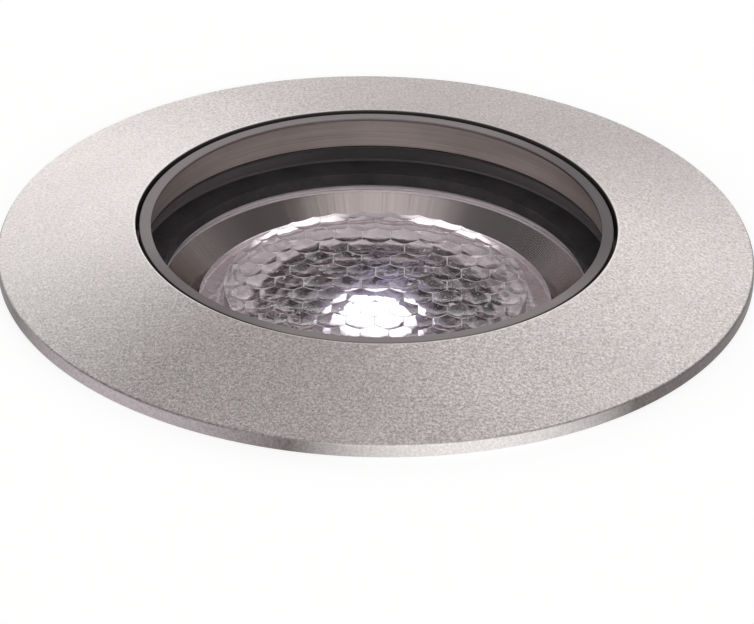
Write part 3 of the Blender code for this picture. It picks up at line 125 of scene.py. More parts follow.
# Lens and its holder.
FIELD_RADIUS = 0.0153
FACE_TOP = -0.0051
FACET_PITCH = 0.0029
FACET_RISE = 0.0003
FACET_CURVE = 0.0048
FACET_STEPS = 36
FACET_RINGS = 60
FACET_GAP = 0.00001
LENS_RIM_RADIUS = 0.0179
LENS_RIM_TOP = -0.0067
LENS_RIM_BOTTOM = -0.0082
LENS_FOOT_RADIUS = 0.0056
LENS_BOTTOM = -0.015
LENS_CURVE_STEPS = 16
LENS_SMOOTHING = math.radians(22)
LENS_GLOW_RADIUS = 0.0046
LENS_GLOW_TOP = -0.0102
HOLDER_RADIUS = 0.0184
HOLDER_TOP = -0.0083
HOLDER_COLLAR_BOTTOM = -0.0098
HOLDER_WALL_RADIUS = 0.0164
HOLDER_BORE = 0.0156
HOLDER_BOTTOM = -0.0156

# LED.
LED_ROUND = 0.0002
DOME_RADIUS = 0.0013
DOME_FOOT = -0.0148
DOME_STEPS = 12

# Housing tube, with a shoulder for the glass, a groove for the retaining ring and cooling grooves.
HOUSING_RADIUS = 0.0254
HOUSING_BORE = 0.0229
HOUSING_TOP = 0.0007
HOUSING_BOTTOM = -0.062
HOUSING_EDGE = 0.0003
GLASS_SEAT_RADIUS = 0.0247
GLASS_SHOULDER = -0.0045
STOP_LIP_RADIUS = 0.0222
STOP_LIP_BOTTOM = -0.0055
RETAINER_GROOVE_RADIUS = 0.0239
RETAINER_GROOVE_TOP = -0.036
RETAINER_GROOVE_BOTTOM = -0.0372
COOLING_GROOVE_WIDTH = 0.0014
COOLING_GROOVE_DEPTH = 0.0004
COOLING_GROOVE_PITCH = 0.003
UPPER_GROOVES_TOP = -0.0092
UPPER_GROOVE_COUNT = 5
LOWER_GROOVES_TOP = -0.0462
LOWER_GROOVE_COUNT = 3
CLIP_FLAT_RADIUS = 0.0249
CLIP_FLAT_TOP = -0.0267
CLIP_FLAT_BOTTOM = -0.0433

# Back cap, its seal and its screws.
PLUG_TOP = -0.0555
CAP_TOP = -0.0621
CAP_BOTTOM = -0.065
CAP_CHAMFER = 0.0004
CAP_HOLE = 0.008
CAP_GROOVE_RADIUS = 0.0209
CAP_GROOVE_MIDDLE = -0.0575
CAP_GROOVE_WIDTH = 0.002
CAP_SEAL_RADIUS = 0.0219
CAP_SEAL_WIRE = 0.0007
CAP_TURNED_LINES = (0.0148, 0.0196)
CAP_LINE_WIDTH = 0.0005
CAP_SCREW_LEVEL = -0.06
CAP_SCREW_HOLE = 0.0018

# Pieces on the LED board and round it.
BOARD_RADIUS = 0.0196
BOARD_CHAMFER = 0.0001
BOARD_TOP = -0.0157
BOARD_SCREW_RING = 0.0181
SMALL_HOLE = 0.0011
SINK_TOP = -0.018
SINK_BOTTOM = -0.036
SINK_SLOT_TOP = -0.024
SINK_SLOT_WIDTH = 0.0024
SINK_SLOT_PITCH = 0.0044
SINK_SLOT_PAIRS = 5
SINK_SCREW_FLOOR = -0.021
LEAD_RING = 0.0209
LEAD_HOLE = 0.001
RETAINER_RADIUS = 0.0236
RETAINER_BORE = 0.0205
RETAINER_TOP = -0.0361
RETAINER_BOTTOM = -0.0371
RETAINER_OPENING = 0.009
RETAINER_EAR_RADIUS = 0.0016
RETAINER_EAR_PLACE = (0.0063, -0.0198)
RETAINER_EAR_HOLE = 0.0007

# Driver board and its components.
DRIVER_RADIUS = 0.0203
DRIVER_TOP = -0.0487
DRIVER_BOTTOM = -0.0503
DRIVER_NOTCH = 0.0045
DRIVER_HOLE = 0.0013
COMPONENT_FOOT = -0.0486
STANDOFF_RING = 0.0176
STANDOFF_CORNER = 0.00231
STANDOFF_TOP = -0.0504
STANDOFF_BOTTOM = -0.0554
CAN_PLACE = (0.0035, -0.01015, 0)
CAN_RADIUS = 0.0032
CAN_LID_SHARES = (0.72, 0.76)
CAN_HEIGHT = 0.0085
CAN_ROUND = 0.0004
CAN_SCORE = 0.0002
DRUM_PLACE = (0, 0.0076, 0)
DRUM_RADIUS = 0.0038
DRUM_CORE = 0.003
DRUM_HEIGHT = 0.005
DRUM_FLANGE = 0.0009
DRUM_WIRE = 0.0002
CHIP_PLACE = (0.01015, 0)
CHIP_LENGTH = 0.005
CHIP_BODY_WIDTH = 0.003
CHIP_WIDTH = 0.004
CHIP_HEIGHT = 0.0015
CHIP_PITCH = 0.00127
CHIP_LEG = 0.0004
CHIP_LEGS_A_SIDE = 4
CHIP_LEG_BENDS = (1.2, 1.5, 1.7, 2)
TERMINAL_PLACE = (-0.01015, -0.0076)
TERMINAL_SIZE = (0.0066, 0.0076, 0.0075)
TERMINAL_PITCH = 0.0036
TERMINAL_SCREW = 0.0012
TERMINAL_MOUTH = 0.0026

# Screws: radii of head, shank and socket, height of head, length and pitch of thread.
SMALL_SCREW = (0.0013, 0.0008, 0.0006, 0.0009, 0.005, 0.0004)
BOARD_SCREW = (0.0021, 0.001, 0.00095, 0.0013, 0.004, 0.0004)
CAP_SCREW = (0.0026, 0.0015, 0.00118, 0.0015, 0.006, 0.0005)
CLIP_SCREW = (0.0022, 0.00125, 0.00098, 0.0011, 0.0028, 0.00045)
CAP_SCREW_LENGTH = CAP_SCREW[4]
CROWN_SHARE = 0.62
BRIM_SHARE = 0.35
TIP_SHARE = 0.75
SOCKET_DEPTH_SHARE = 0.5
HEAD_EDGE = 0.00012
HEAD_STEPS = 6
SCREW_SEAT = 0.0001
SET_SCREW_RADIUS = 0.0015
SET_SCREW_TIP = 0.0255
SET_SCREW_TAIL = 0.0275
SET_SCREW_BORE = 0.0018
SET_SCREW_LEVEL = -0.0038
SET_SCREW_SOCKET = 0.0009

# Cable gland.
GLAND_THREAD_RADIUS = 0.0077
GLAND_THREAD_DEPTH = 0.0004
GLAND_THREAD_PITCH = 0.0015
GLAND_BORE = 0.004
GLAND_HEX_CORNER = 0.0115
GLAND_HEX_TOP = -0.0662
GLAND_HEX_BOTTOM = -0.0702
GLAND_NECK_RADIUS = 0.007
GLAND_NECK_BORE = 0.0055
GLAND_NECK_BOTTOM = -0.076
GLAND_RUBBER_ROUND = 0.0002
WASHER_RADIUS = 0.0105
WASHER_TOP = -0.0651
WASHER_BOTTOM = -0.0661
LOCKNUT_CORNER = 0.0108
LOCKNUT_BOTTOM = -0.0554
LOCKNUT_TOP = -0.0518
SLEEVE_RADIUS = 0.0052
SLEEVE_TOP = -0.0703
SLEEVE_HEAD_TOP = -0.0761
SLEEVE_BOTTOM = -0.0789
CABLE_BORE = 0.0036
NUT_BORE = 0.0073
NUT_DOME_RADIUS = 0.0091
NUT_CORNER = 0.0108
NUT_TOP = -0.0705
NUT_HEX_BOTTOM = -0.0765
NUT_SHOULDER = -0.0792
NUT_BOTTOM = -0.0823
NUT_MOUTH = 0.0044
NUT_MOUTH_CHAMFER = 0.0003
NUT_DOME_CURVE = 0.004
FLATS_TURN = math.radians(30)

# Sprung clips, drawn round the pin's axis: X outwards, Y along the pin.
PIVOT_RADIUS = 0.0286
PIVOT_LEVEL = -0.038
BRACKET_BACK = -0.0036
BRACKET_FRONT = -0.0026
BRACKET_TOP = 0.011
BRACKET_BOTTOM = -0.005
BRACKET_WIDTH = 0.009
BRACKET_WALL = 0.001
BRACKET_BEND = 0.0008
BRACKET_CORNER = 0.0014
EAR_RADIUS = 0.0021
CLIP_SCREW_RISE = 0.007
CLIP_SCREW_HOLE = 0.00155
PIN_RADIUS = 0.0008
PIN_HOLE = 0.0011
PIN_HEAD_RADIUS = 0.0014
PIN_HEAD_THICKNESS = 0.0006
PIN_HEAD_EDGE = 0.0001
PIN_DOME_SHARES = ((0.5, 0.08), (0.85, 0.35))
PIN_REACH = 0.0046
ARM_WIDTH = 0.0064
ARM_THICKNESS = 0.0008
ARM_BEND_START = 0.0119
ARM_BEND_RADIUS = 0.0008
ARM_BEND_DEGREES = 74
ARM_TIP_LENGTH = 0.00085
ARM_WINDOW_WIDTH = 0.0044
ARM_WINDOW_TOP = 0.009
ARM_WINDOW_CORNER = 0.0007
KNUCKLE_RADIUS = 0.0019
CLIP_OPEN_ANGLE = math.radians(60)
SPRING_WIRE = 0.0003
SPRING_WIRE_STEPS = 12
SPRING_RADIUS = 0.00145
SPRING_WIDTH = 0.00315
SPRING_TURNS = 3
SPRING_STEPS = 32
SPRING_FOOT = Vector((-0.002, 0, -0.004))
SPRING_LEG = 0.0101
SPRING_LEG_GAP = 0.00072

# Materials: the middle range of a texture, distances over which marks fade, and strengths.
TEXTURE_RANGE = (0.3, 0.7)
SAND_RANGE = (0.37, 0.63)
# Several of these bands carry painted light: a painted highlight with wear at the bore, painted shade in
# the gap, a painted dark reflection on the trim's edge, painted light on the cup's rim, and painted
# highlights on the facets' joints and on the lens rim's edge, wall and an inner circle.
BORE_WEAR_AND_HIGHLIGHT = (0.00035, 0.00015)
GAP_SHADE = (0.00009, 0.00003)
TRIM_EDGE_FADE = (0.00005, -0.0001)
CUP_RIM_LIGHT_FADE = (0.00005, 0.00012)
FACET_JOINT = (-0.00009, -0.00004)
LENS_RIM_LINE = (-0.0003, -0.0001)
LENS_WALL_FADE = (-0.0002, 0.0)
LENS_HIGHLIGHT_LINE = 0.0007
LENS_HIGHLIGHT_FADE = (0.00022, 0.00008)
GLASS_INDEX = 1.5
LENS_INDEX = 1.49
SILICONE_INDEX = 1.42
COATING_SHINE = 0.08
LENS_SHINE = 1.5
GLOW_STRENGTH = 4.0
# Strengths of painted light: the glow painted in the lens's hollow, and the painted highlight that glows
# on the lens rim's wall.
HOLLOW_STRENGTH = 1.35
EDGE_HIGHLIGHT_GLOW = 1.0

# Camera and floor.
CAMERA_TARGET = Vector((0, 0, TRIM_EDGE_HEIGHT))
CAMERA_DISTANCE = 0.6096
CAMERA_ELEVATION = math.radians(29.131)
CAMERA_ROLL = math.radians(1.18)
CAMERA_DROP = math.radians(0.583)
CAMERA_ASIDE = math.radians(0.0085)
CAMERA_LENS = 288.86
CAMERA_NEAREST = 0.01
CAMERA_FARTHEST = 10
FLOOR_STEPS = 128
FLOOR_HOLE = 0.0335
FLOOR_SINK = 0.00005
FLOOR_CENTRE = -0.055
FLOOR_LENGTH = 0.115
FLOOR_WIDTH = 0.1
FLOOR_WHITE = (0.8, 0.8, 0.8, 1)
FLOOR_FAINT = (0.3, 0.3, 0.3, 1)
FLOOR_GLOW = 0.8
ROOM_TINT = (1, 0.995, 0.985, 1)

FINISHES = {}


def srgb(red, green, blue):
    """A colour read from 0 to 255, made linear."""
    shares = [channel / 255 for channel in (red, green, blue)]
    linear = [share / 12.92 if share < 0.04045 else ((share + 0.055) / 1.055) ** 2.4 for share in shares]
    return (*linear, 1.0)


# Shader sums.
class Value:
    """A number that a shader node gives, for sums written in Python."""

    def __init__(self, recipe, socket):
        self.recipe = recipe
        self.socket = socket

    def sum(self, operation, *others):
        return self.recipe.math(operation, self, *others)

    def most(self, other):
        return self.sum("MAXIMUM", other)

    def __add__(self, other):
        return self.sum("ADD", other)

    def __sub__(self, other):
        return self.sum("SUBTRACT", other)

    def __rsub__(self, other):
        return self.recipe.math("SUBTRACT", other, self)

    def __mul__(self, other):
        return self.sum("MULTIPLY", other)

    def __truediv__(self, other):
        return self.sum("DIVIDE", other)

    def __pow__(self, other):
        return self.sum("POWER", other)


class Recipe:
    """The shader nodes of one material or of the world."""

    def __init__(self, owner):
        owner.use_nodes = True
        self.owner = owner
        self.tree = owner.node_tree
        self.tree.nodes.clear()

    def add(self, kind, settings=None, sockets=None, output=0):
        """A node, its settings first, then the values and links of its sockets."""
        node = self.tree.nodes.new(kind)
        for name, value in (settings or {}).items():
            if name == "stops":
                self.set_stops(node.color_ramp, value)
            else:
                setattr(node, name, value)
        for name, value in (sockets or {}).items():
            if isinstance(value, Value):
                self.tree.links.new(value.socket, node.inputs[name])
            else:
                node.inputs[name].default_value = value
        return Value(self, node.outputs[output])

    def set_stops(self, ramp, stops):
        while len(ramp.elements) < len(stops):
            ramp.elements.new(1.0)
        for element, (position, colour) in zip(ramp.elements, stops):
            element.position = position
            element.color = srgb(*colour)

    def math(self, operation, *values):
        return self.add("ShaderNodeMath", {"operation": operation}, dict(enumerate(values)))

    def place(self):
        return self.add("ShaderNodeTexCoord", output="Object")

    def parts_of(self, vector):
        node = self.add("ShaderNodeSeparateXYZ", {}, {"Vector": vector}).socket.node
        return [Value(self, output) for output in node.outputs]

    def joined(self, x, y, z):
        return self.add("ShaderNodeCombineXYZ", {}, {"X": x, "Y": y, "Z": z})

    def polar(self):
        """Radius, angle and height of the place round the light's axis."""
        x, y, z = self.parts_of(self.place())
        return (x * x + y * y) ** 0.5, self.math("ARCTAN2", y, x), z

    def toward(self, degrees, narrow, wide):
        """1 on the side of the axis that lies at an angle, fading between two half-widths in degrees."""
        x, y, _ = self.parts_of(self.place())
        turn = math.radians(degrees)
        along = (x * math.cos(turn) + y * math.sin(turn)) / (x * x + y * y) ** 0.5
        return self.spread(along, math.cos(math.radians(wide)), math.cos(math.radians(narrow)))

    def noise(self, vector, scale, detail=2.0, roughness=0.5):
        sockets = {"Vector": vector, "Scale": scale, "Detail": detail, "Roughness": roughness}
        return self.add("ShaderNodeTexNoise", {}, sockets)

    def spread(self, value, low, high, new_low=0.0, new_high=1.0):
        """A value taken from one range to another, and kept inside it."""
        sockets = {"Value": value, "From Min": low, "From Max": high}
        sockets |= {"To Min": new_low, "To Max": new_high}
        return self.add("ShaderNodeMapRange", {"clamp": True}, sockets)

    def band(self, value, level, fade):
        """1 beyond a level, fading between two distances from it."""
        return self.spread(value, level + fade[0], level + fade[1])

    def vary(self, texture, low, high):
        """A number that follows a texture between two limits."""
        return self.spread(texture, *TEXTURE_RANGE, low, high)

    def blend(self, share, first, second):
        """One tone over another, each the value of a node or a colour read from 0 to 255."""
        first, second = (tone if isinstance(tone, Value) else srgb(*tone) for tone in (first, second))
        settings = {"data_type": "RGBA", "blend_type": "MIX"}
        return self.add("ShaderNodeMix", settings, {0: share, 6: first, 7: second}, 2)

    def shades(self, texture, dark, light):
        """A tone that follows a texture between two others."""
        return self.blend(self.spread(texture, *TEXTURE_RANGE), dark, light)

    def bump(self, height, distance, strength=1.0):
        sockets = {"Height": height, "Distance": distance, "Strength": strength}
        return self.add("ShaderNodeBump", {}, sockets)

    def ray(self, kind):
        return self.add("ShaderNodeLightPath", output=kind)

    def either(self, share, first, second):
        return self.add("ShaderNodeMixShader", {}, {0: share, 1: first, 2: second})

    def shader(self, tone, rough, **sockets):
        plain = {"Base Color": tone, "Roughness": rough}
        plain |= {name.replace("_", " "): value for name, value in sockets.items()}
        return self.add("ShaderNodeBsdfPrincipled", {}, plain)

    def coat(self, tone, rough, **sockets):
        """Makes one plain surface the whole material."""
        self.finish(self.shader(tone, rough, **sockets))

    def finish(self, surface):
        kind = "ShaderNodeOutputMaterial"
        if isinstance(self.owner, bpy.types.World):
            kind = "ShaderNodeOutputWorld"
        self.tree.links.new(surface.socket, self.tree.nodes.new(kind).inputs["Surface"])


def material(name):
    """The recipe of a new material, which is kept in FINISHES under its name."""
    FINISHES[name] = bpy.data.materials.new(name)
    return Recipe(FINISHES[name])


# Finishes of metal.
def blasted_metal():
    """Bead-blasted trim: a fine even grain, a pale band at the bore that is wear and a painted highlight,
    painted light and shade by side, painted shade in the gap, and a turned edge painted dark with painted
    highlights.
    """
    recipe = material("blasted_metal")
    place = recipe.place()
    radius, _, height = recipe.polar()
    grain = recipe.noise(place, 3600, 4.0, 0.75)
    fine = recipe.noise(place, 9000, 2.0, 0.6)
    cloud = recipe.noise(place, 90, 3.0)
    sand = recipe.spread(grain * 0.75 + fine * 0.25, *SAND_RANGE)
    dark = recipe.shades(cloud, (146, 138, 137), (156, 148, 147))
    light = recipe.shades(cloud, (246, 240, 239), (252, 246, 245))
    tone = recipe.blend(sand, dark, light)
    # A pale band at the bore's edge: wear, and a painted highlight on the crown's rounded edge.
    tone = recipe.blend(recipe.band(radius, TRIM_BORE, BORE_WEAR_AND_HIGHLIGHT) * 0.7, tone, (240, 234, 232))
    # Painted light and shade by side: the face is painted darker towards the back right and the front
    # left, and lighter towards the left and a little towards the right.
    sides = [
        (62, 20, 60, 0.35, (150, 142, 141)),
        (248, 15, 38, 0.27, (150, 140, 140)),
        (172, 20, 60, 0.36, (255, 250, 249)),
        (342, 20, 60, 0.1, (255, 250, 249)),
    ]
    for degrees, narrow, wide, strength, colour in sides:
        tone = recipe.blend(recipe.toward(degrees, narrow, wide) * strength, tone, colour)
    # The outer edge is painted dark grey with the grain: a painted dark reflection of the surroundings.
    edge = recipe.band(height, TRIM_EDGE_HEIGHT, TRIM_EDGE_FADE)
    tone = recipe.blend(edge, tone, recipe.blend(sand, (92, 86, 85), (134, 127, 126)))
    # Painted highlights on the outer edge, at the front left and a little right of the front.
    edge_highlights = [
        (230, 28, (164, 154, 158), (202, 192, 196)),
        (285, 27, (222, 216, 215), (253, 249, 248)),
    ]
    for degrees, wide, dark, light in edge_highlights:
        share = edge * recipe.toward(degrees, 2, wide)
        tone = recipe.blend(share, tone, recipe.blend(sand, dark, light))
    # Painted shade in the gap between trim and bezel: the bore's wall is painted dark and made less
    # metallic.
    tone_mask = recipe.band(radius, TRIM_BORE, GAP_SHADE)
    tone = recipe.blend(tone_mask, tone, (52, 47, 47))
    normal = recipe.bump(grain + fine * 0.4, 0.00004)
    recipe.coat(tone, recipe.vary(grain, 0.36, 0.5), Metallic=0.9 - tone_mask * 0.9, Normal=normal)


def brushed_steel():
    """Steel brushed round the light's axis, with its lip painted darker as painted shade, most at the
    right and front left.
    """
    recipe = material("brushed_steel")
    radius, angle, height = recipe.polar()
    line = recipe.noise(recipe.joined(angle * 1.5, radius * 9000, height * 9000), 1.0, 3.0, 0.7)
    smudge = recipe.noise(recipe.place(), 160, 3.0)
    tone = recipe.shades(line, (158, 148, 143), (190, 179, 173))
    tone = recipe.blend(recipe.spread(smudge, 0.4, 0.7) * 0.25, tone, (128, 119, 118))
    # The lip's top is painted darker than the wall, and darker still towards the right and front left:
    # painted shade.
    top = recipe.spread(height, LIP_UNDERSIDE, LIP_UNDERSIDE + LIP_ROUND)
    lip_shade = (recipe.toward(12, 20, 50) + recipe.toward(222, 8, 28) * 0.75) * 0.9
    lip = recipe.blend(lip_shade, recipe.shades(line, (104, 97, 98), (130, 122, 123)), (70, 62, 65))
    tone = recipe.blend(top, tone, lip)
    normal = recipe.bump(line, 0.00001, 0.5)
    recipe.coat(tone, recipe.vary(line, 0.34, 0.5), Metallic=0.6, Normal=normal)


def satin_aluminium():
    """Spun cup with fine streaks that run down its wall, a painted highlight towards the right and back,
    and a rim painted pale and matt as painted light.
    """
    recipe = material("satin_aluminium")
    radius, angle, height = recipe.polar()
    streak = recipe.noise(recipe.joined(angle * 110, height * 60, 0.0), 1.0, 3.0, 0.7)
    tint = recipe.noise(recipe.joined(angle * 3, height * 200, 0.0), 1.0, 2.0)
    tone = recipe.shades(streak, (172, 161, 160), (200, 189, 189))
    tone = recipe.blend(recipe.spread(tint, 0.5, 0.75) * 0.3, tone, (176, 174, 160))
    tone = recipe.blend(recipe.spread(tint, 0.5, 0.25) * 0.3, tone, (192, 170, 168))
    # A painted highlight: the metal is painted lighter towards the right and back.
    tone = recipe.blend(recipe.toward(32, 25, 50) * 0.5, tone, (230, 218, 222))
    # Painted light on the rim, which lies in the shade of the seal's skirt: it is painted pale and made
    # rougher and less metallic.
    rim = recipe.band(radius, CUP_OPENING, CUP_RIM_LIGHT_FADE)
    tone = recipe.blend(rim, tone, (238, 230, 234))
    rough = recipe.vary(streak, 0.17, 0.24) + rim * 0.3
    normal = recipe.bump(streak, 0.00001, 0.3)
    recipe.coat(tone, rough, Metallic=1.0 - rim * 0.85, Normal=normal)


def grained_metal(name, dark, light, roughness, grain, depth, metallic):
    """Cast, plated or drawn metal with a grain of one size and soft marks from handling."""
    recipe = material(name)
    place = recipe.place()
    fine = recipe.noise(place, grain, 3.0, 0.6)
    cloud = recipe.noise(place, 140, 4.0, 0.6)
    rough = recipe.vary(fine * 0.6 + cloud * 0.4, roughness * 0.85, roughness * 1.15)
    normal = recipe.bump(fine, depth, 0.6)
    recipe.coat(recipe.shades(cloud, dark, light), rough, Metallic=metallic, Normal=normal)


# Finishes of rubber, plastic and boards.
def moulded(name, dark, light, roughness, grain, depth):
    """Moulded plastic or rubber, with a fine skin and slight dulling."""
    recipe = material(name)
    place = recipe.place()
    skin = recipe.noise(place, grain, 2.0)
    tone_mask = recipe.noise(place, 260, 4.0, 0.65)
    tone = recipe.blend(recipe.spread(tone_mask, 0.35, 0.75), dark, light)
    rough = recipe.vary(skin, roughness * 0.85, roughness * 1.1)
    recipe.coat(tone, rough, Normal=recipe.bump(skin, depth, 0.6))


def solder_mask(name, mask, track):
    """Lacquer over copper tracks that show as a faint relief."""
    recipe = material(name)
    place = recipe.place()
    edges = {"feature": "DISTANCE_TO_EDGE"}
    cell = recipe.add("ShaderNodeTexVoronoi", edges, {"Vector": place, "Scale": 420}, "Distance")
    copper = recipe.spread(cell, 0.06, 0.1)
    mottle = recipe.noise(place, 700, 3.0)
    tone = recipe.blend(copper, track, mask)
    tone = recipe.blend(recipe.spread(mottle, 0.4, 0.8) * 0.12, tone, track)
    recipe.coat(tone, recipe.vary(mottle, 0.3, 0.42), Normal=recipe.bump(copper, 0.00003, 0.6))


def glowing_phosphor():
    """The lit LED: a white glow with a warm speckle."""
    recipe = material("led_phosphor")
    speckle = recipe.noise(recipe.place(), 6000, 3.0)
    tone = recipe.shades(speckle, (250, 226, 150), (255, 240, 190))
    glow = recipe.shades(speckle, (255, 250, 244), (255, 255, 255))
    rough = recipe.vary(speckle, 0.4, 0.55)
    recipe.coat(tone, rough, Emission_Color=glow, Emission_Strength=GLOW_STRENGTH)


# Clear finishes, and those of the glass's edge and of the lens's sides.
def clear_material(name, tint, body_of):
    """Bends what is seen through it, and lets the room's light pass straight."""
    recipe = material(name)
    body = body_of(recipe, tint)
    passing = recipe.add("ShaderNodeBsdfTransparent", {}, {"Color": tint})
    surface = recipe.either(recipe.ray("Is Glossy Ray"), body, passing)
    surface = recipe.either(recipe.ray("Is Transmission Ray"), surface, body)
    surface = recipe.either(recipe.ray("Is Diffuse Ray"), surface, passing)
    recipe.finish(recipe.either(recipe.ray("Is Shadow Ray"), surface, passing))


def mirrored(recipe, tint, index, rough, shine, **normal):
    """A clear body under a skin that mirrors more edge-on."""
    bent = {"Color": tint, "IOR": index, "Roughness": 0.0, **normal}
    through = recipe.add("ShaderNodeBsdfRefraction", {}, bent)
    mirror = recipe.add("ShaderNodeBsdfGlossy", {}, {"Roughness": rough, **normal})
    edge_on = recipe.add("ShaderNodeFresnel", {}, {"IOR": index})
    return recipe.either(edge_on * shine, through, mirror)


def coated_glass(recipe, tint):
    """Toughened glass with a coating that takes most of its shine away."""
    smear = recipe.noise(recipe.place(), 220, 3.0)
    return mirrored(recipe, tint, GLASS_INDEX, recipe.spread(smear, 0.5, 0.8, 0.0, 0.05), COATING_SHINE)


def facet_outline(recipe):
    """A mask that is 1 on the thin lines between the hexagons of the lens's face."""
    x, y, _ = recipe.parts_of(recipe.place())
    row = FACET_PITCH * math.sqrt(3)
    reaches = []
    for shift in (0.0, 0.5):
        across = (x + FACET_PITCH * shift).sum("PINGPONG", FACET_PITCH / 2)
        along = (y + row * shift).sum("PINGPONG", row / 2)
        reaches.append(across.most(across * math.cos(SLOPE_60) + along * math.sin(SLOPE_60)))
    return recipe.band(reaches[0].sum("MINIMUM", reaches[1]), FACET_PITCH / 2, FACET_JOINT)


def acrylic(recipe, tint):
    """Clear moulded plastic, shinier edge-on, with the joints between its facets slightly frosted white,
    as painted highlights.
    """
    place = recipe.place()
    rough = recipe.spread(recipe.noise(place, 400, 3.0), 0.55, 0.8, 0.01, 0.05)
    ripple = recipe.bump(recipe.noise(place, 420, 2.0), 0.00035)
    clear = mirrored(recipe, tint, LENS_INDEX, rough, LENS_SHINE, Normal=ripple)
    patchy = recipe.spread(recipe.noise(place, 500, 2.0), 0.38, 0.62, 0.1, 0.85)
    # The white frost on the facets' joints is a painted highlight, for the light that rounded joints
    # would catch.
    frost_highlight = recipe.add("ShaderNodeBsdfDiffuse", {}, {"Color": srgb(238, 232, 236)})
    return recipe.either(facet_outline(recipe) * patchy, clear, frost_highlight)


def silicone(recipe, tint):
    rough = recipe.spread(recipe.noise(recipe.place(), 900, 3.0), 0.4, 0.8, 0.02, 0.1)
    return recipe.shader(tint, rough, IOR=SILICONE_INDEX, Transmission_Weight=1.0)


def lens_flank():
    """The coat on the lens's flank, coloured as painted light and shade for what the facets show: bright
    under the rim, dark brown below, a painted glow of the LED at the foot, painted light at the sides and
    front, and a painted glint at the back.
    """
    recipe = material("lens_flank_coat")
    place = recipe.place()
    height = recipe.parts_of(place)[2]
    mottle = recipe.noise(place, 900, 3.0)
    # Painted light and shade by side: at the left and right the ramp below is shifted, and darker patches
    # are laid on.
    sides = recipe.toward(180, 15, 60).most(recipe.toward(0, 15, 60))
    depth = recipe.spread(height, LENS_RIM_BOTTOM, LENS_BOTTOM) + (mottle - 0.5) * 0.08 - sides * 0.12
    # Painted light and shade down the flank: a bright band under the rim, dark brown below with one thin
    # pale line, and a painted glow of the LED at the foot.
    stops = [
        (0.0, (250, 244, 247)),
        (0.2, (228, 218, 223)),
        (0.27, (250, 244, 248)),
        (0.34, (84, 70, 74)),
        (0.4, (42, 31, 34)),
        (0.5, (42, 31, 34)),
        (0.54, (176, 164, 170)),
        (0.6, (46, 34, 38)),
        (0.76, (40, 30, 33)),
        (0.86, (134, 126, 142)),
        (1.0, (222, 216, 240)),
    ]
    tone = recipe.add("ShaderNodeValToRGB", {"stops": stops}, {"Fac": depth})
    cloud = recipe.noise(place, 260, 3.0)
    tone = recipe.blend(recipe.spread(cloud, 0.52, 0.64) * 0.3, tone, (176, 164, 170))
    tone = recipe.blend(recipe.spread(cloud, 0.46, 0.36) * sides * 0.75, tone, (84, 70, 76))
    # Painted light: lighter crumbs towards the front left and front right.
    painted_light_front = recipe.toward(212, 28, 55).most(recipe.toward(318, 20, 50))
    crumb = recipe.spread(recipe.noise(place, 1100, 3.0, 0.6), 0.44, 0.56)
    tone = recipe.blend(crumb * (painted_light_front * 0.75 + 0.12), tone, (178, 168, 170))
    # A painted glint in blue towards the back, low on the flank.
    glint = recipe.toward(80, 8, 24) * recipe.spread(depth, 0.5, 0.75)
    tone = recipe.blend(glint * crumb * 0.8, tone, (186, 180, 224))
    fleck = recipe.spread(recipe.noise(place, 2200, 2.0), 0.66, 0.7)
    tone = recipe.blend(fleck, tone, (250, 246, 250))
    recipe.coat(tone, recipe.vary(mottle, 0.45, 0.6))


def lens_rim():
    """The matt underside and edge of the lens's rim, with painted highlights as pale lines at its outer
    edge, on a circle inside it and on its wall, and glowing on the wall at the back left and back right.
    """
    recipe = material("lens_rim_frost")
    radius, _, height = recipe.polar()
    grain = recipe.noise(recipe.place(), 1400, 3.0)
    # Painted highlights: pale lines at the outer edge, on a circle between the facets and the edge, and
    # on the upright wall.
    outer = recipe.band(radius, LENS_RIM_RADIUS, LENS_RIM_LINE)
    inner = recipe.spread((radius - FIELD_RADIUS - LENS_HIGHLIGHT_LINE).sum("ABSOLUTE"), *LENS_HIGHLIGHT_FADE)
    wall = recipe.band(height, LENS_RIM_TOP, LENS_WALL_FADE)
    tone = recipe.shades(grain, (190, 178, 182), (210, 198, 202))
    tone = recipe.blend(outer.most(inner).most(wall), tone, (246, 240, 243))
    # A painted highlight that glows on the wall towards the back left and back right.
    painted_highlight_sides = recipe.toward(124, 14, 24).most(recipe.toward(58, 14, 24))
    glow = recipe.blend(wall * painted_highlight_sides, (0, 0, 0), (255, 248, 250))
    rough = recipe.vary(grain, 0.5, 0.65)
    recipe.coat(tone, rough, Emission_Color=glow, Emission_Strength=EDGE_HIGHLIGHT_GLOW)


def lens_hollow():
    """The hollow of the lens over the LED, with the LED's light painted on it as a glow, brightest at the
    top.
    """
    recipe = material("lens_lit_hollow")
    height = recipe.parts_of(recipe.place())[2]
    share = recipe.spread(height, LENS_BOTTOM, LENS_GLOW_TOP)
    speckle = recipe.noise(recipe.place(), 900, 3.0)
    stops = [(0.0, (104, 98, 108)), (0.25, (196, 192, 202))]
    stops += [(0.5, (250, 248, 252)), (1.0, (255, 255, 255))]
    tone = recipe.add("ShaderNodeValToRGB", {"stops": stops}, {"Fac": share + (speckle - 0.5) * 0.8})
    rough = recipe.vary(speckle, 0.4, 0.5)
    # A painted glow: the hollow's colour is given off as light.
    recipe.coat(tone, rough, Emission_Color=tone, Emission_Strength=HOLLOW_STRENGTH)


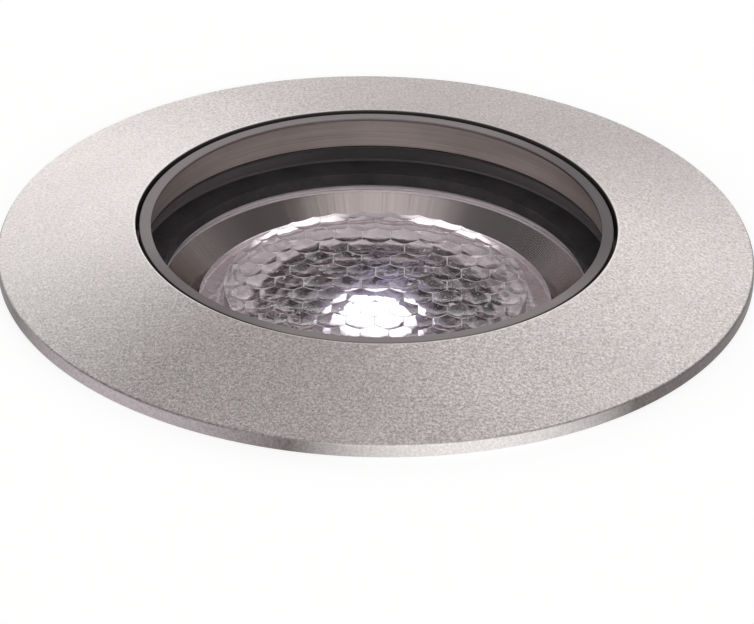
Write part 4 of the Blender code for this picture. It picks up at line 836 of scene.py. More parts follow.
def glass_edge():
    """The ground rim of the glass, blacked so that no light leaves it sideways, and painted lighter at
    the left and right as painted light.
    """
    recipe = material("glass_edge_black")
    grain = recipe.noise(recipe.place(), 3000, 2.0)
    # Painted light: the blacked edge is painted lighter towards the left and right.
    sides = recipe.toward(180, 30, 80).most(recipe.toward(0, 30, 80))
    tone = recipe.blend(sides, recipe.shades(grain, (60, 57, 59), (68, 65, 67)), (98, 93, 96))
    recipe.coat(tone, recipe.vary(grain, 0.6, 0.75))


def all_finishes():
    """Metals and mouldings take two tones, a roughness, and the size and depth of their grain."""
    blasted_metal()
    brushed_steel()
    satin_aluminium()
    grained_metal("cast_aluminium", (64, 64, 67), (78, 78, 80), 0.42, 3000, 0.00002, 0.8)
    grained_metal("bright_steel", (178, 178, 180), (208, 208, 209), 0.24, 2600, 0.000006, 1.0)
    grained_metal("spring_steel", (150, 150, 153), (178, 178, 180), 0.28, 3600, 0.000008, 1.0)
    grained_metal("enamelled_copper", (176, 92, 42), (204, 116, 58), 0.28, 2600, 0.000006, 1.0)
    moulded("black_rubber", (44, 42, 43), (66, 63, 65), 0.75, 2600, 0.00003)
    moulded("black_plastic", (30, 30, 31), (42, 42, 43), 0.45, 3600, 0.00001)
    moulded("green_plastic", (52, 138, 78), (64, 152, 90), 0.42, 2800, 0.00001)
    moulded("thermal_pad", (146, 150, 154), (164, 168, 172), 0.85, 1800, 0.00003)
    moulded("dark_ferrite", (62, 62, 66), (78, 78, 80), 0.6, 2400, 0.00003)
    moulded("red_lead", (176, 28, 26), (196, 40, 36), 0.45, 2400, 0.00001)
    moulded("black_lead", (28, 28, 29), (38, 38, 38), 0.45, 2400, 0.00001)
    solder_mask("white_solder_mask", (236, 236, 232), (214, 212, 204))
    solder_mask("green_solder_mask", (22, 92, 48), (48, 124, 70))
    glowing_phosphor()
    clear_material("clear_glass", (1.0, 0.995, 0.997, 1.0), coated_glass)
    clear_material("clear_plastic", (0.985, 0.965, 0.975, 1.0), acrylic)
    clear_material("clear_silicone", (1.0, 0.98, 0.94, 1.0), silicone)
    lens_flank()
    lens_rim()
    lens_hollow()
    glass_edge()


# Modelling steps.
def clear_choice():
    bpy.ops.object.select_all(action="DESELECT")


def choose(obj):
    clear_choice()
    obj.select_set(True)
    bpy.context.view_layer.objects.active = obj


def apply_place(obj):
    choose(obj)
    bpy.ops.object.transform_apply(location=True, rotation=True, scale=True)
    return obj


def added(name):
    """The primitive just added, named and with its place applied."""
    obj = bpy.context.object
    obj.name = name
    return apply_place(obj)


def placed(obj, location=(0, 0, 0), turn=(0, 0, 0)):
    """Turns and moves a piece for good."""
    obj.rotation_euler = turn
    obj.location = location
    return apply_place(obj)


def start_edit(obj, kind="VERT"):
    choose(obj)
    bpy.ops.object.mode_set(mode="EDIT")
    bpy.ops.mesh.select_mode(type=kind)


def end_edit():
    bpy.ops.object.mode_set(mode="OBJECT")


def choose_all():
    bpy.ops.mesh.select_all(action="SELECT")


def choose_none():
    bpy.ops.mesh.select_all(action="DESELECT")


def choose_open_ends():
    choose_none()
    bpy.ops.mesh.select_non_manifold()


def extrude(step):
    bpy.ops.mesh.extrude_edges_move(TRANSFORM_OT_translate={"value": step})


def face_outwards():
    """Turns all faces outwards and ends the edit."""
    choose_all()
    bpy.ops.mesh.normals_make_consistent(inside=False)
    end_edit()


def modify(obj, kind, **settings):
    """Adds a modifier, sets it and applies it."""
    choose(obj)
    bpy.ops.object.modifier_add(type=kind)
    step = obj.modifiers[-1]
    for name, value in settings.items():
        setattr(step, name, value)
    bpy.ops.object.modifier_apply(modifier=step.name)
    return obj


def combine(obj, other, operation="DIFFERENCE"):
    """Cuts, joins or crosses a piece with another, which is used up."""
    modify(obj, "BOOLEAN", operation=operation, solver="EXACT", object=other)
    bpy.data.objects.remove(other, do_unlink=True)
    return obj


def shade(obj, degrees=40):
    choose(obj)
    bpy.ops.object.shade_smooth_by_angle(angle=math.radians(degrees))
    return modify(obj, "WEIGHTED_NORMAL", keep_sharp=True)


def soften(obj, width, segments=3, degrees=30):
    """Rounds the edges that are sharper than an angle, and smooths the shading."""
    sharp = {"limit_method": "ANGLE", "angle_limit": math.radians(degrees)}
    return shade(modify(obj, "BEVEL", width=width, segments=segments, **sharp))


def cut_off(point, away):
    """Removes what lies beyond a plane, leaving the cut open."""
    choose_all()
    bpy.ops.mesh.bisect(plane_co=point, plane_no=away, clear_outer=True, threshold=NEAR / 10)


def step_ring(here, there):
    """Extrudes the selected ring of edges to another radius and height."""
    extrude((0, 0, there[1] - here[1]))
    if there[0] == 0:
        bpy.ops.mesh.merge(type="CENTER")
        return
    share = there[0] / here[0]
    bpy.ops.transform.resize(value=(share, share, 1), center_override=(0, 0, there[1]))


def turned(name, outline, steps=RING_STEPS):
    """A circle carried along an outline of radii and heights, closed or with both ends on the axis."""
    solid = outline[0][0] == 0
    path = outline[1:] if solid else outline + outline[:1]
    clear_choice()
    bpy.ops.mesh.primitive_circle_add(vertices=steps, radius=path[0][0], location=(0, 0, path[0][1]))
    obj = added(name)
    start_edit(obj, "EDGE")
    choose_all()
    for here, there in zip(path, path[1:]):
        step_ring(here, there)
    if solid:
        choose_open_ends()
        step_ring(outline[1], outline[0])
    choose_all()
    bpy.ops.mesh.remove_doubles(threshold=NEAR)
    face_outwards()
    return obj


def stairs(level, *walls):
    """Points of square steps: each wall's radius, and the height it is followed to."""
    points = []
    for radius, next_level in walls:
        points += [(radius, level), (radius, next_level)]
        level = next_level
    return points


def disc(name, radius, top, bottom, chamfer=BOARD_CHAMFER):
    """A round plate with broken edges."""
    flat = radius - chamfer
    rim = [(flat, top), (radius, top - chamfer), (radius, bottom + chamfer), (flat, bottom)]
    return turned(name, [(0, top), *rim, (0, bottom)])


def ring(node, slot, outline, width=FINE_ROUND, steps=RING_STEPS):
    """A finished ring, turned from an outline and rounded at its edges."""
    dress(soften(turned(node, outline, steps), width), node, slot)


def prism(name, radius, low, high, steps=RING_STEPS):
    """A plain rod on Z, for cutting or as a start."""
    middle = (0, 0, (high + low) / 2)
    clear_choice()
    bpy.ops.mesh.primitive_cylinder_add(vertices=steps, radius=radius, depth=high - low, location=middle)
    return added(name)


def slab(name, size, centre):
    clear_choice()
    bpy.ops.mesh.primitive_cube_add(size=1, location=centre)
    bpy.context.object.scale = size
    return added(name)


def turns(first_degrees, count=3):
    return [math.radians(first_degrees + index * 360 / count) for index in range(count)]


def around(radius, turn, height=0):
    return radius * math.cos(turn), radius * math.sin(turn), height


def bore(obj, radius, place, low, top):
    """A round hole along Z, from a depth out through the top."""
    bit = prism("bit", radius, low, top + OVERRUN, SCREW_STEPS)
    return combine(obj, placed(bit, (place[0], place[1], 0), (0, 0, math.pi / SCREW_STEPS)))


def drill(obj, radius, inner, outer, turn, height):
    """A hole along a radius of the light, from a depth out through the side."""
    bit = prism("bit", radius, inner, outer + OVERRUN, SCREW_STEPS)
    return combine(obj, placed(bit, (0, 0, height), (0, QUARTER, turn)))


def plate(name, outline, width):
    """An outline of X and Z, drawn point by point, filled, and extruded along Y."""
    start = (outline[0][0], -width / 2, outline[0][1])
    clear_choice()
    bpy.ops.mesh.primitive_plane_add(size=OVERRUN, location=start)
    obj = added(name)
    start_edit(obj)
    choose_all()
    bpy.ops.mesh.merge(type="CENTER")
    for here, there in zip(outline, outline[1:]):
        step = (there[0] - here[0], 0, there[1] - here[1])
        bpy.ops.mesh.extrude_vertices_move(TRANSFORM_OT_translate={"value": step})
    choose_all()
    bpy.ops.mesh.edge_face_add()
    bpy.ops.mesh.extrude_region_move(TRANSFORM_OT_translate={"value": (0, width, 0)})
    face_outwards()
    return obj


def arc(centre, radius, first, last, steps=8):
    """Points of an arc between two angles in degrees."""
    points = []
    for step in range(steps + 1):
        turn = math.radians(first + (last - first) * step / steps)
        points.append((centre[0] + radius * math.cos(turn), centre[1] + radius * math.sin(turn)))
    return points


def choose_edges(obj, wanted):
    """Selects the edges that pass a test."""
    choose_none()
    for edge in bmesh.from_edit_mesh(obj.data).edges:
        if wanted(edge):
            edge.select_set(True)


def round_edges(obj, axis, inside, width):
    """Rounds the edges that run along X, Y or Z and whose middle passes a test."""

    def wanted(edge):
        first, last = (point.co for point in edge.verts)
        return abs((last - first).normalized()[axis]) > PARALLEL and inside((first + last) / 2)

    start_edit(obj, "EDGE")
    choose_edges(obj, wanted)
    bpy.ops.mesh.bevel(offset=width, segments=BEND_SEGMENTS)
    end_edit()
    return obj


def copied(obj):
    copy = obj.copy()
    copy.data = obj.data.copy()
    bpy.context.collection.objects.link(copy)
    return copy


def joined(pieces):
    choose(pieces[0])
    for piece in pieces:
        piece.select_set(True)
    bpy.ops.object.join()
    return apply_place(pieces[0])


def paint_faces(obj, names, number_for):
    """Gives a piece several materials, and each face the one that its number points to."""
    for name in names:
        obj.data.materials.append(FINISHES[name])
    for face in obj.data.polygons:
        face.material_index = number_for(face)


def dress(obj, node, slot, body="root"):
    """Gives a finished piece its material, and puts it in the place of its CAD node."""
    obj.name = node + "_finished"
    obj.data.name = obj.name
    if not obj.data.materials:
        obj.data.materials.append(FINISHES[slot])
    if body:
        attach(obj, body)
    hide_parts(node)
    return obj


def round_the_light(obj, node, slot, first_degrees, body="root", count=3):
    """A copy of a piece for each numbered CAD node, evenly round the axis."""
    for index, turn in enumerate(turns(first_degrees, count), 1):
        copy = placed(copied(obj), turn=(0, 0, turn))
        dress(copy, f"{node}_{index}", slot, body.format(index))
    bpy.data.objects.remove(obj, do_unlink=True)


# Pieces of the head, from the deck inwards.
def trim_underside(radius, slack=0.0):
    """Height of the underside of the trim's cone at a radius."""
    share = (TRIM_RADIUS - radius) / (TRIM_RADIUS - TRIM_BORE)
    top = TRIM_EDGE_HEIGHT + share * (TRIM_CROWN_HEIGHT - TRIM_EDGE_HEIGHT)
    return top - (TRIM_WALL + slack)


def trim_ring():
    outline = [(TRIM_BORE, TRIM_CROWN_HEIGHT)]
    outline += stairs(TRIM_EDGE_HEIGHT, (TRIM_RADIUS, 0), (TRIM_LAND, trim_underside(TRIM_LAND)))
    under = trim_underside(COLLAR_RADIUS)
    outline += stairs(under, (COLLAR_RADIUS, COLLAR_BOTTOM), (COLLAR_BORE, HUB_BOTTOM))
    outline.append((TRIM_BORE, HUB_BOTTOM))
    ring = soften(turned("trim", outline, TRIM_STEPS), TRIM_ROUND, 4)
    for turn in turns(30):
        drill(ring, SET_SCREW_BORE, COLLAR_BORE - OVERRUN, COLLAR_RADIUS, turn, SET_SCREW_LEVEL)
    dress(shade(ring), "trim_ring", "blasted_metal")


def deck_gasket():
    outline = stairs(trim_underside(GASKET_RADIUS, GASKET_SLACK), (GASKET_RADIUS, 0))
    outline += stairs(0, (GASKET_BORE, trim_underside(GASKET_BORE, GASKET_SLACK)))
    ring("deck_gasket", "black_rubber", outline)


def bezel_ring():
    outside = ((NECK_RADIUS, FOOT_TOP), (FOOT_RADIUS, FOOT_BOTTOM))
    outline = stairs(LIP_TOP, *outside, (WALL_RADIUS, LIP_UNDERSIDE), (LIP_RADIUS, LIP_TOP))
    ring("bezel_ring", "brushed_steel", outline, LIP_ROUND, TRIM_STEPS)


def seals():
    bore_wall = (UPPER_SEAL_BORE, UPPER_SEAL_TOP)
    outline = stairs(UPPER_SEAL_TOP, (GLASS_RADIUS, UPPER_SEAL_BOTTOM), bore_wall)
    ring("upper_glass_seal", "black_rubber", outline, UPPER_SEAL_ROUND)
    skirt = ((SKIRT_RADIUS, SKIRT_BOTTOM), (SKIRT_BORE, LOWER_SEAL_TOP))
    outline = stairs(LOWER_SEAL_TOP, (GLASS_RADIUS, LOWER_SEAL_BOTTOM), *skirt)
    ring("lower_glass_seal", "black_rubber", outline)


def glass_window():
    """The glass, with its upright edge and chamfers blacked."""
    glass = disc("glass", GLASS_RADIUS, GLASS_TOP, GLASS_BOTTOM, GLASS_CHAMFER)
    finishes = ("clear_glass", "glass_edge_black")
    paint_faces(glass, finishes, lambda face: int(abs(face.normal.z) < FLAT))
    dress(shade(glass, 20), "glass_window", "clear_glass")


def reflector_cup():
    inside = CARTRIDGE_RADIUS - CUP_WALL
    outline = stairs(CUP_TOP, (CARTRIDGE_RADIUS, CUP_BOTTOM), (inside, CUP_TOP - 2 * CUP_WALL))
    outline += stairs(CUP_CONE_BOTTOM - CUP_WALL, (CUP_THROAT, CUP_CONE_BOTTOM))
    outline += [(CUP_OPENING + out, CUP_TOP + up) for out, up in CUP_RIM]
    dress(shade(turned("cup", outline), 30), "reflector_cup", "satin_aluminium")


def facet_cutter():
    """The space over the lens's face: a field of hexagons with round undersides, extruded upwards."""
    centre = (0, 0, FACE_TOP + FACET_CURVE)
    rings = {"segments": FACET_STEPS, "ring_count": FACET_RINGS}
    clear_choice()
    bpy.ops.mesh.primitive_uv_sphere_add(radius=FACET_CURVE, location=centre, **rings)
    facet = added("facet")
    start_edit(facet)
    cut_off((0, 0, FACE_TOP + 2 * FACET_RISE), (0, 0, 1))
    for side in range(HEX_STEPS):
        away = Vector(around(1, side * math.tau / HEX_STEPS))
        cut_off(away * FACET_PITCH / 2, away)
    end_edit()
    row_pitch = FACET_PITCH * math.sin(SLOPE_60)
    reach = FIELD_RADIUS + FACET_PITCH
    rows = math.ceil(reach / row_pitch)
    columns = math.ceil(reach / FACET_PITCH) + 1
    copies = []
    for row in range(-rows, rows + 1):
        for column in range(-columns, columns + 1):
            centre = Vector(((column + row % 2 / 2) * FACET_PITCH, row * row_pitch, 0))
            if centre.length < reach:
                copies.append(copied(facet))
                copies[-1].location = centre
    bpy.data.objects.remove(facet, do_unlink=True)
    field = joined(copies)
    start_edit(field)
    choose_all()
    bpy.ops.mesh.remove_doubles(threshold=FACET_GAP)
    choose_open_ends()
    extrude((0, 0, FACET_RISE))
    top = (0, 0, FACE_TOP + FACET_RISE + OVERRUN)
    bpy.ops.transform.resize(value=(1, 1, 0), center_override=top)
    bpy.ops.mesh.edge_face_add()
    face_outwards()
    return field


def lens_curve(share):
    """Radius and height of the bowl under the rim, from the rim at 0 to the foot at 1."""
    radius = FIELD_RADIUS + (LENS_FOOT_RADIUS - FIELD_RADIUS) * share**1.5
    return radius, LENS_RIM_BOTTOM + (LENS_BOTTOM - LENS_RIM_BOTTOM) * share


def hollow_curve(share):
    """Radius and height of the hollow over the LED, from the foot at 0 to the top at 1."""
    turn = QUARTER * share
    rise = (LENS_GLOW_TOP - LENS_BOTTOM) * math.sin(turn)
    return LENS_GLOW_RADIUS * math.cos(turn), LENS_BOTTOM + rise


def lens_finish(face):
    """0 for the clear face, 1 for the flank's coat of painted light and shade, 2 for the hollow's painted
    glow and 3 for the matt sides of the rim.
    """
    if face.center.z < LENS_RIM_BOTTOM - NEAR:
        return 2 if face.center.xy.length < LENS_GLOW_RADIUS + NEAR else 1
    underside = face.center.z < LENS_RIM_BOTTOM + NEAR
    return 3 if underside or abs(face.normal.z) < UPRIGHT else 0


def honeycomb_lens():
    blank_top = FACE_TOP + 2 * FACET_RISE
    rim = ((LENS_RIM_RADIUS, LENS_RIM_BOTTOM),)
    outline = [(0, blank_top)] + stairs(blank_top, (FIELD_RADIUS, LENS_RIM_TOP), *rim)
    outline += [lens_curve(step / LENS_CURVE_STEPS) for step in range(LENS_CURVE_STEPS + 1)]
    outline.append((LENS_GLOW_RADIUS, LENS_BOTTOM))
    outline += [hollow_curve(step / DOME_STEPS) for step in range(1, DOME_STEPS)]
    outline.append((0, LENS_GLOW_TOP))
    lens = combine(turned("lens", outline), facet_cutter())
    finishes = ("clear_plastic", "lens_flank_coat", "lens_lit_hollow", "lens_rim_frost")
    paint_faces(lens, finishes, lens_finish)
    choose(lens)
    bpy.ops.object.shade_smooth_by_angle(angle=LENS_SMOOTHING)
    dress(lens, "honeycomb_lens", "clear_plastic")


def lens_holder():
    outside = ((HOLDER_RADIUS, HOLDER_COLLAR_BOTTOM), (HOLDER_WALL_RADIUS, HOLDER_BOTTOM))
    outline = stairs(HOLDER_TOP, *outside, (HOLDER_BORE, HOLDER_TOP))
    ring("lens_holder", "black_plastic", outline)


def led():
    low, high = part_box("led_package")
    package = slab("package", high - low, (low + high) / 2)
    dress(soften(package, LED_ROUND), "led_package", "led_phosphor")
    dome = arc((0, DOME_FOOT), DOME_RADIUS, 90, 0, DOME_STEPS)[1:]
    outline = [(0, DOME_FOOT + DOME_RADIUS), *dome, (0, DOME_FOOT)]
    dress(shade(turned("dome", outline, SCREW_STEPS)), "led_dome", "clear_silicone")


# Pieces of the body.
def grooves(top, count):
    """Points of the cooling grooves down the housing's wall."""
    foot = HOUSING_RADIUS - COOLING_GROOVE_DEPTH
    points = []
    for index in range(count):
        upper = top - index * COOLING_GROOVE_PITCH
        lower = upper - COOLING_GROOVE_WIDTH
        points += [(HOUSING_RADIUS, upper), (foot, upper - COOLING_GROOVE_DEPTH / 2)]
        points += [(foot, lower + COOLING_GROOVE_DEPTH / 2), (HOUSING_RADIUS, lower)]
    return points


def housing_tube():
    top_edge = HOUSING_EDGE / 2
    foot = HOUSING_BOTTOM + HOUSING_EDGE
    outline = [(HOUSING_RADIUS - top_edge, HOUSING_TOP), (HOUSING_RADIUS, HOUSING_TOP - top_edge)]
    outline += grooves(UPPER_GROOVES_TOP, UPPER_GROOVE_COUNT)
    outline += grooves(LOWER_GROOVES_TOP, LOWER_GROOVE_COUNT)
    outline += [(HOUSING_RADIUS, foot), (HOUSING_RADIUS - HOUSING_EDGE, HOUSING_BOTTOM)]
    outline.append((HOUSING_BORE + HOUSING_EDGE, HOUSING_BOTTOM))
    outline += stairs(
        foot,
        (HOUSING_BORE, RETAINER_GROOVE_BOTTOM),
        (RETAINER_GROOVE_RADIUS, RETAINER_GROOVE_TOP),
        (HOUSING_BORE, STOP_LIP_BOTTOM),
        (STOP_LIP_RADIUS, GLASS_SHOULDER),
        (GLASS_SEAT_RADIUS, HOUSING_TOP),
    )
    housing = turned("housing", outline)
    inner = HOUSING_BORE - OVERRUN
    size = (OVERRUN * 2, HOUSING_RADIUS, CLIP_FLAT_TOP - CLIP_FLAT_BOTTOM)
    centre = (CLIP_FLAT_RADIUS + OVERRUN, 0, (CLIP_FLAT_TOP + CLIP_FLAT_BOTTOM) / 2)
    for turn in turns(90):
        combine(housing, placed(slab("flat", size, centre), turn=(0, 0, turn)))
        drill(housing, CLIP_SCREW_HOLE, inner, HOUSING_RADIUS, turn, PIVOT_LEVEL + CLIP_SCREW_RISE)
    for turn in turns(30):
        drill(housing, CAP_SCREW_HOLE, inner, HOUSING_RADIUS, turn, CAP_SCREW_LEVEL)
    dress(shade(housing), "housing_tube", "cast_aluminium")


def back_cap():
    """The cap with its plug, the groove for its seal, and fine lines turned in its underside."""
    half = CAP_GROOVE_WIDTH / 2
    outline = [(CAP_HOLE + CAP_CHAMFER, PLUG_TOP), (CARTRIDGE_RADIUS - CAP_CHAMFER, PLUG_TOP)]
    outline += stairs(
        PLUG_TOP - CAP_CHAMFER,
        (CARTRIDGE_RADIUS, CAP_GROOVE_MIDDLE + half),
        (CAP_GROOVE_RADIUS, CAP_GROOVE_MIDDLE - half),
        (CARTRIDGE_RADIUS, CAP_TOP),
        (HOUSING_RADIUS, CAP_BOTTOM + CAP_CHAMFER),
    )
    outline.append((HOUSING_RADIUS - CAP_CHAMFER, CAP_BOTTOM))
    for radius in reversed(CAP_TURNED_LINES):
        outline += [(radius + CAP_LINE_WIDTH, CAP_BOTTOM), (radius, CAP_BOTTOM + CAP_LINE_WIDTH / 2)]
        outline.append((radius - CAP_LINE_WIDTH, CAP_BOTTOM))
    outline += [(CAP_HOLE, CAP_BOTTOM), (CAP_HOLE, PLUG_TOP - CAP_CHAMFER)]
    cap = turned("cap", outline)
    depth = HOUSING_RADIUS - CAP_SCREW_LENGTH - SCREW_SEAT
    for turn in turns(30):
        drill(cap, CAP_SCREW_HOLE, depth, CARTRIDGE_RADIUS, turn, CAP_SCREW_LEVEL)
    dress(shade(cap, 30), "back_cap", "cast_aluminium")
    seal = turned("seal", arc((CAP_SEAL_RADIUS, CAP_GROOVE_MIDDLE), CAP_SEAL_WIRE, 0, 345, 23))
    dress(shade(seal), "cap_seal_ring", "black_rubber")


# Screws.
def thread(radius, depth, top, bottom, pitch):
    """Points of a thread's crests and roots down a shank."""
    points = []
    for index in range(int((top - bottom) / pitch)):
        crest = top - index * pitch
        points += [(radius, crest), (radius, crest - pitch / 8), (radius - depth, crest - pitch / 2)]
    return points


def screws(size, place, node, first_degrees, tilt=0.0, count=3):
    """Domed screws with a thread and a six-sided socket, one for each numbered CAD node."""
    head, shank, socket, rise, length, pitch = size
    crown = head * CROWN_SHARE
    brim = rise * BRIM_SHARE
    outline = [(0, rise)]
    for step in range(HEAD_STEPS + 1):
        turn = QUARTER * step / HEAD_STEPS
        outline.append((crown + (head - crown) * math.sin(turn), brim + (rise - brim) * math.cos(turn)))
    outline += [(head, HEAD_EDGE), (head - HEAD_EDGE, 0), (shank, 0)]
    outline += thread(shank, pitch / 2, -pitch, -length, pitch)
    outline += [(shank * TIP_SHARE, -length), (0, -length)]
    key = prism("key", socket, rise * (1 - SOCKET_DEPTH_SHARE), rise + OVERRUN, HEX_STEPS)
    body = shade(combine(turned("screw", outline, SCREW_STEPS), key))
    body = placed(body, place, (0, tilt, 0))
    round_the_light(body, node, "bright_steel", first_degrees, count=count)


def cap_screws():
    screws(CAP_SCREW, (HOUSING_RADIUS + SCREW_SEAT, 0, CAP_SCREW_LEVEL), "cap_screw", 30, QUARTER)


def set_screws():
    """Headless screws in the trim's collar, with a cupped tip and a six-sided socket."""
    length = SET_SCREW_TAIL - SET_SCREW_TIP
    chamfer = SET_SCREW_RADIUS / 8
    neck = SET_SCREW_RADIUS - chamfer
    outline = [(0, length), (neck, length), (SET_SCREW_RADIUS, length - chamfer)]
    outline += thread(SET_SCREW_RADIUS, chamfer, length - 2 * chamfer, 2 * chamfer, 2 * chamfer)
    outline += [(neck, 0), (SET_SCREW_RADIUS / 2, 0), (0, chamfer)]
    key = prism("key", SET_SCREW_SOCKET, length / 2, length + OVERRUN, HEX_STEPS)
    body = shade(combine(turned("set_screw", outline, SCREW_STEPS), key))
    body = placed(body, (SET_SCREW_TIP, 0, SET_SCREW_LEVEL), (0, QUARTER, 0))
    round_the_light(body, "set_screw", "spring_steel", 30)


# Pieces inside the body.
def led_board_and_pad():
    for node, slot in (("led_board", "white_solder_mask"), ("thermal_pad", "thermal_pad")):
        low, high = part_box(node)
        sheet = disc(node, BOARD_RADIUS, high[2], low[2])
        for turn in turns(0, 2):
            bore(sheet, SMALL_HOLE, around(BOARD_SCREW_RING, turn), low[2] - OVERRUN, high[2])
        dress(shade(sheet), node, slot)
    screws(SMALL_SCREW, (BOARD_SCREW_RING, 0, BOARD_TOP + SCREW_SEAT), "led_board_screw", 0, count=2)


def heat_sink():
    """A turned block sawn into fins, with holes for the leads and for the board's screws."""
    sink = disc("sink", CARTRIDGE_RADIUS, SINK_TOP, SINK_BOTTOM)
    height = SINK_SLOT_TOP - SINK_BOTTOM + OVERRUN
    size = (SINK_SLOT_WIDTH, 2 * HOUSING_RADIUS, height)
    for pair in range(SINK_SLOT_PAIRS):
        for side in (-1, 1):
            x = side * (pair + 0.5) * SINK_SLOT_PITCH
            combine(sink, slab("saw", size, (x, 0, SINK_SLOT_TOP - height / 2)))
    for side in (-1, 1):
        x = side * SINK_SLOT_PITCH / 2
        bore(sink, LEAD_HOLE, (x, math.sqrt(LEAD_RING**2 - x**2)), SINK_SLOT_TOP - OVERRUN, SINK_TOP)
        bore(sink, SMALL_HOLE, (side * BOARD_SCREW_RING, 0), SINK_SCREW_FLOOR, SINK_TOP)
    dress(shade(sink), "heat_sink", "cast_aluminium")


def retaining_ring():
    """A sprung ring with an opening, and an ear with a hole on each side of it for the pliers."""
    outline = stairs(RETAINER_TOP, (RETAINER_RADIUS, RETAINER_BOTTOM), (RETAINER_BORE, RETAINER_TOP))
    size = (RETAINER_OPENING, HOUSING_RADIUS, 3 * (RETAINER_TOP - RETAINER_BOTTOM))
    centre = (0, -HOUSING_RADIUS, (RETAINER_TOP + RETAINER_BOTTOM) / 2)
    ring = combine(turned("retainer", outline), slab("gap", size, centre))
    x, y = RETAINER_EAR_PLACE
    for side in (-1, 1):
        ear = prism("ear", RETAINER_EAR_RADIUS, RETAINER_BOTTOM + NEAR, RETAINER_TOP - NEAR, SCREW_STEPS)
        combine(ring, placed(ear, (side * x, y, 0)), "UNION")
        bore(ring, RETAINER_EAR_HOLE, (side * x, y), RETAINER_BOTTOM - OVERRUN, RETAINER_TOP)
    dress(shade(ring), "retaining_ring", "spring_steel")


def driver_board():
    board = disc("driver", DRIVER_RADIUS, DRIVER_TOP, DRIVER_BOTTOM)
    bore(board, DRIVER_NOTCH, (-DRIVER_RADIUS, 0), DRIVER_BOTTOM - OVERRUN, DRIVER_TOP)
    for turn in turns(30):
        bore(board, DRIVER_HOLE, around(STANDOFF_RING, turn), DRIVER_BOTTOM - OVERRUN, DRIVER_TOP)
    dress(shade(board), "driver_board", "green_solder_mask")
    screws(BOARD_SCREW, (STANDOFF_RING, 0, COMPONENT_FOOT), "driver_screw", 30)
    post = shade(nut_body("post", STANDOFF_CORNER, DRIVER_HOLE, STANDOFF_TOP, STANDOFF_BOTTOM))
    round_the_light(placed(post, (STANDOFF_RING, 0, 0)), "driver_standoff", "bright_steel", 30)


def driver_capacitor():
    """A can with a crimp near its foot and a cross scored in its lid."""
    foot = COMPONENT_FOOT
    top = foot + CAN_HEIGHT
    lid, brim = (CAN_RADIUS * share for share in CAN_LID_SHARES)
    outline = [(0, top - CAN_SCORE), (lid, top - CAN_SCORE), (brim, top)]
    outline += arc((CAN_RADIUS - CAN_ROUND, top - CAN_ROUND), CAN_ROUND, 90, 0, 6)
    outline += arc((CAN_RADIUS + CAN_ROUND / 2, foot + 3 * CAN_ROUND), CAN_ROUND, 120, 240, 6)
    outline += [(CAN_RADIUS, foot + CAN_ROUND), (CAN_RADIUS, foot), (0, foot)]
    can = turned("can", outline, SCREW_STEPS)
    for size in ((CAN_RADIUS, CAN_SCORE, CAN_SCORE), (CAN_SCORE, CAN_RADIUS, CAN_SCORE)):
        combine(can, slab("score", size, (0, 0, top - CAN_SCORE * 1.1)))
    dress(placed(shade(can), CAN_PLACE), "driver_capacitor", "satin_aluminium")


def is_wound(face):
    """1 for the faces of the wire round the coil's core, 0 for the others."""
    middle = COMPONENT_FOOT + DRUM_HEIGHT / 2
    between = abs(face.center.z - middle) < DRUM_HEIGHT / 2 - DRUM_FLANGE
    inside = face.center.xy.length < DRUM_CORE + 2.5 * DRUM_WIRE
    return int(between and inside and abs(face.normal.z) < FLAT)


def driver_inductor():
    """A ferrite drum wound with enamelled wire."""
    foot = COMPONENT_FOOT
    top = foot + DRUM_HEIGHT
    edge = DRUM_FLANGE / 4
    inner = DRUM_RADIUS - edge
    outline = [(0, top), (inner, top), (DRUM_RADIUS, top - edge), (DRUM_RADIUS, top - DRUM_FLANGE)]
    level = top - DRUM_FLANGE - DRUM_WIRE
    while level > foot + DRUM_FLANGE:
        outline += arc((DRUM_CORE + DRUM_WIRE, level), DRUM_WIRE, 80, -80, 6)
        level -= 2 * DRUM_WIRE
    outline += [(DRUM_RADIUS, foot + DRUM_FLANGE), (DRUM_RADIUS, foot + edge), (inner, foot), (0, foot)]
    drum = shade(turned("drum", outline, SCREW_STEPS), 60)
    paint_faces(drum, ("dark_ferrite", "enamelled_copper"), is_wound)
    dress(placed(drum, DRUM_PLACE), "driver_inductor", "dark_ferrite")


def chip_leg(place, turn):
    """A flat leg that leaves the chip level, bends down and stands on its foot."""
    thick = CHIP_LEG / 3
    inner = CHIP_BODY_WIDTH / 2 - CHIP_LEG
    half = CHIP_WIDTH / 2
    foot = COMPONENT_FOOT
    knee = foot + CHIP_HEIGHT / 2
    under_knee, over_knee, under_foot, over_foot = (inner + bend * CHIP_LEG for bend in CHIP_LEG_BENDS)
    outline = [(inner, knee), (inner, knee + thick), (over_knee, knee + thick)]
    outline += [(over_foot, foot + thick), (half, foot + thick), (half, foot)]
    outline += [(under_foot, foot), (under_knee, knee)]
    leg = plate("leg", outline, CHIP_LEG)
    leg.data.materials.append(FINISHES["bright_steel"])
    return placed(leg, place, (0, 0, turn))


def driver_chip():
    """A moulded chip with bent legs on both sides."""
    x, y = CHIP_PLACE
    size = (CHIP_LENGTH, CHIP_BODY_WIDTH, CHIP_HEIGHT - CHIP_LEG)
    chip = slab("chip", size, (x, y, COMPONENT_FOOT + CHIP_LEG + size[2] / 2))
    soften(chip, CHIP_LEG / 3, 2)
    chip.data.materials.append(FINISHES["black_plastic"])
    pieces = [chip]
    for side in (0, 1):
        for index in range(CHIP_LEGS_A_SIDE):
            along = (index - (CHIP_LEGS_A_SIDE - 1) / 2) * CHIP_PITCH
            pieces.append(chip_leg((x + along, y, 0), QUARTER + side * math.pi))
    dress(joined(pieces), "driver_chip", "black_plastic")


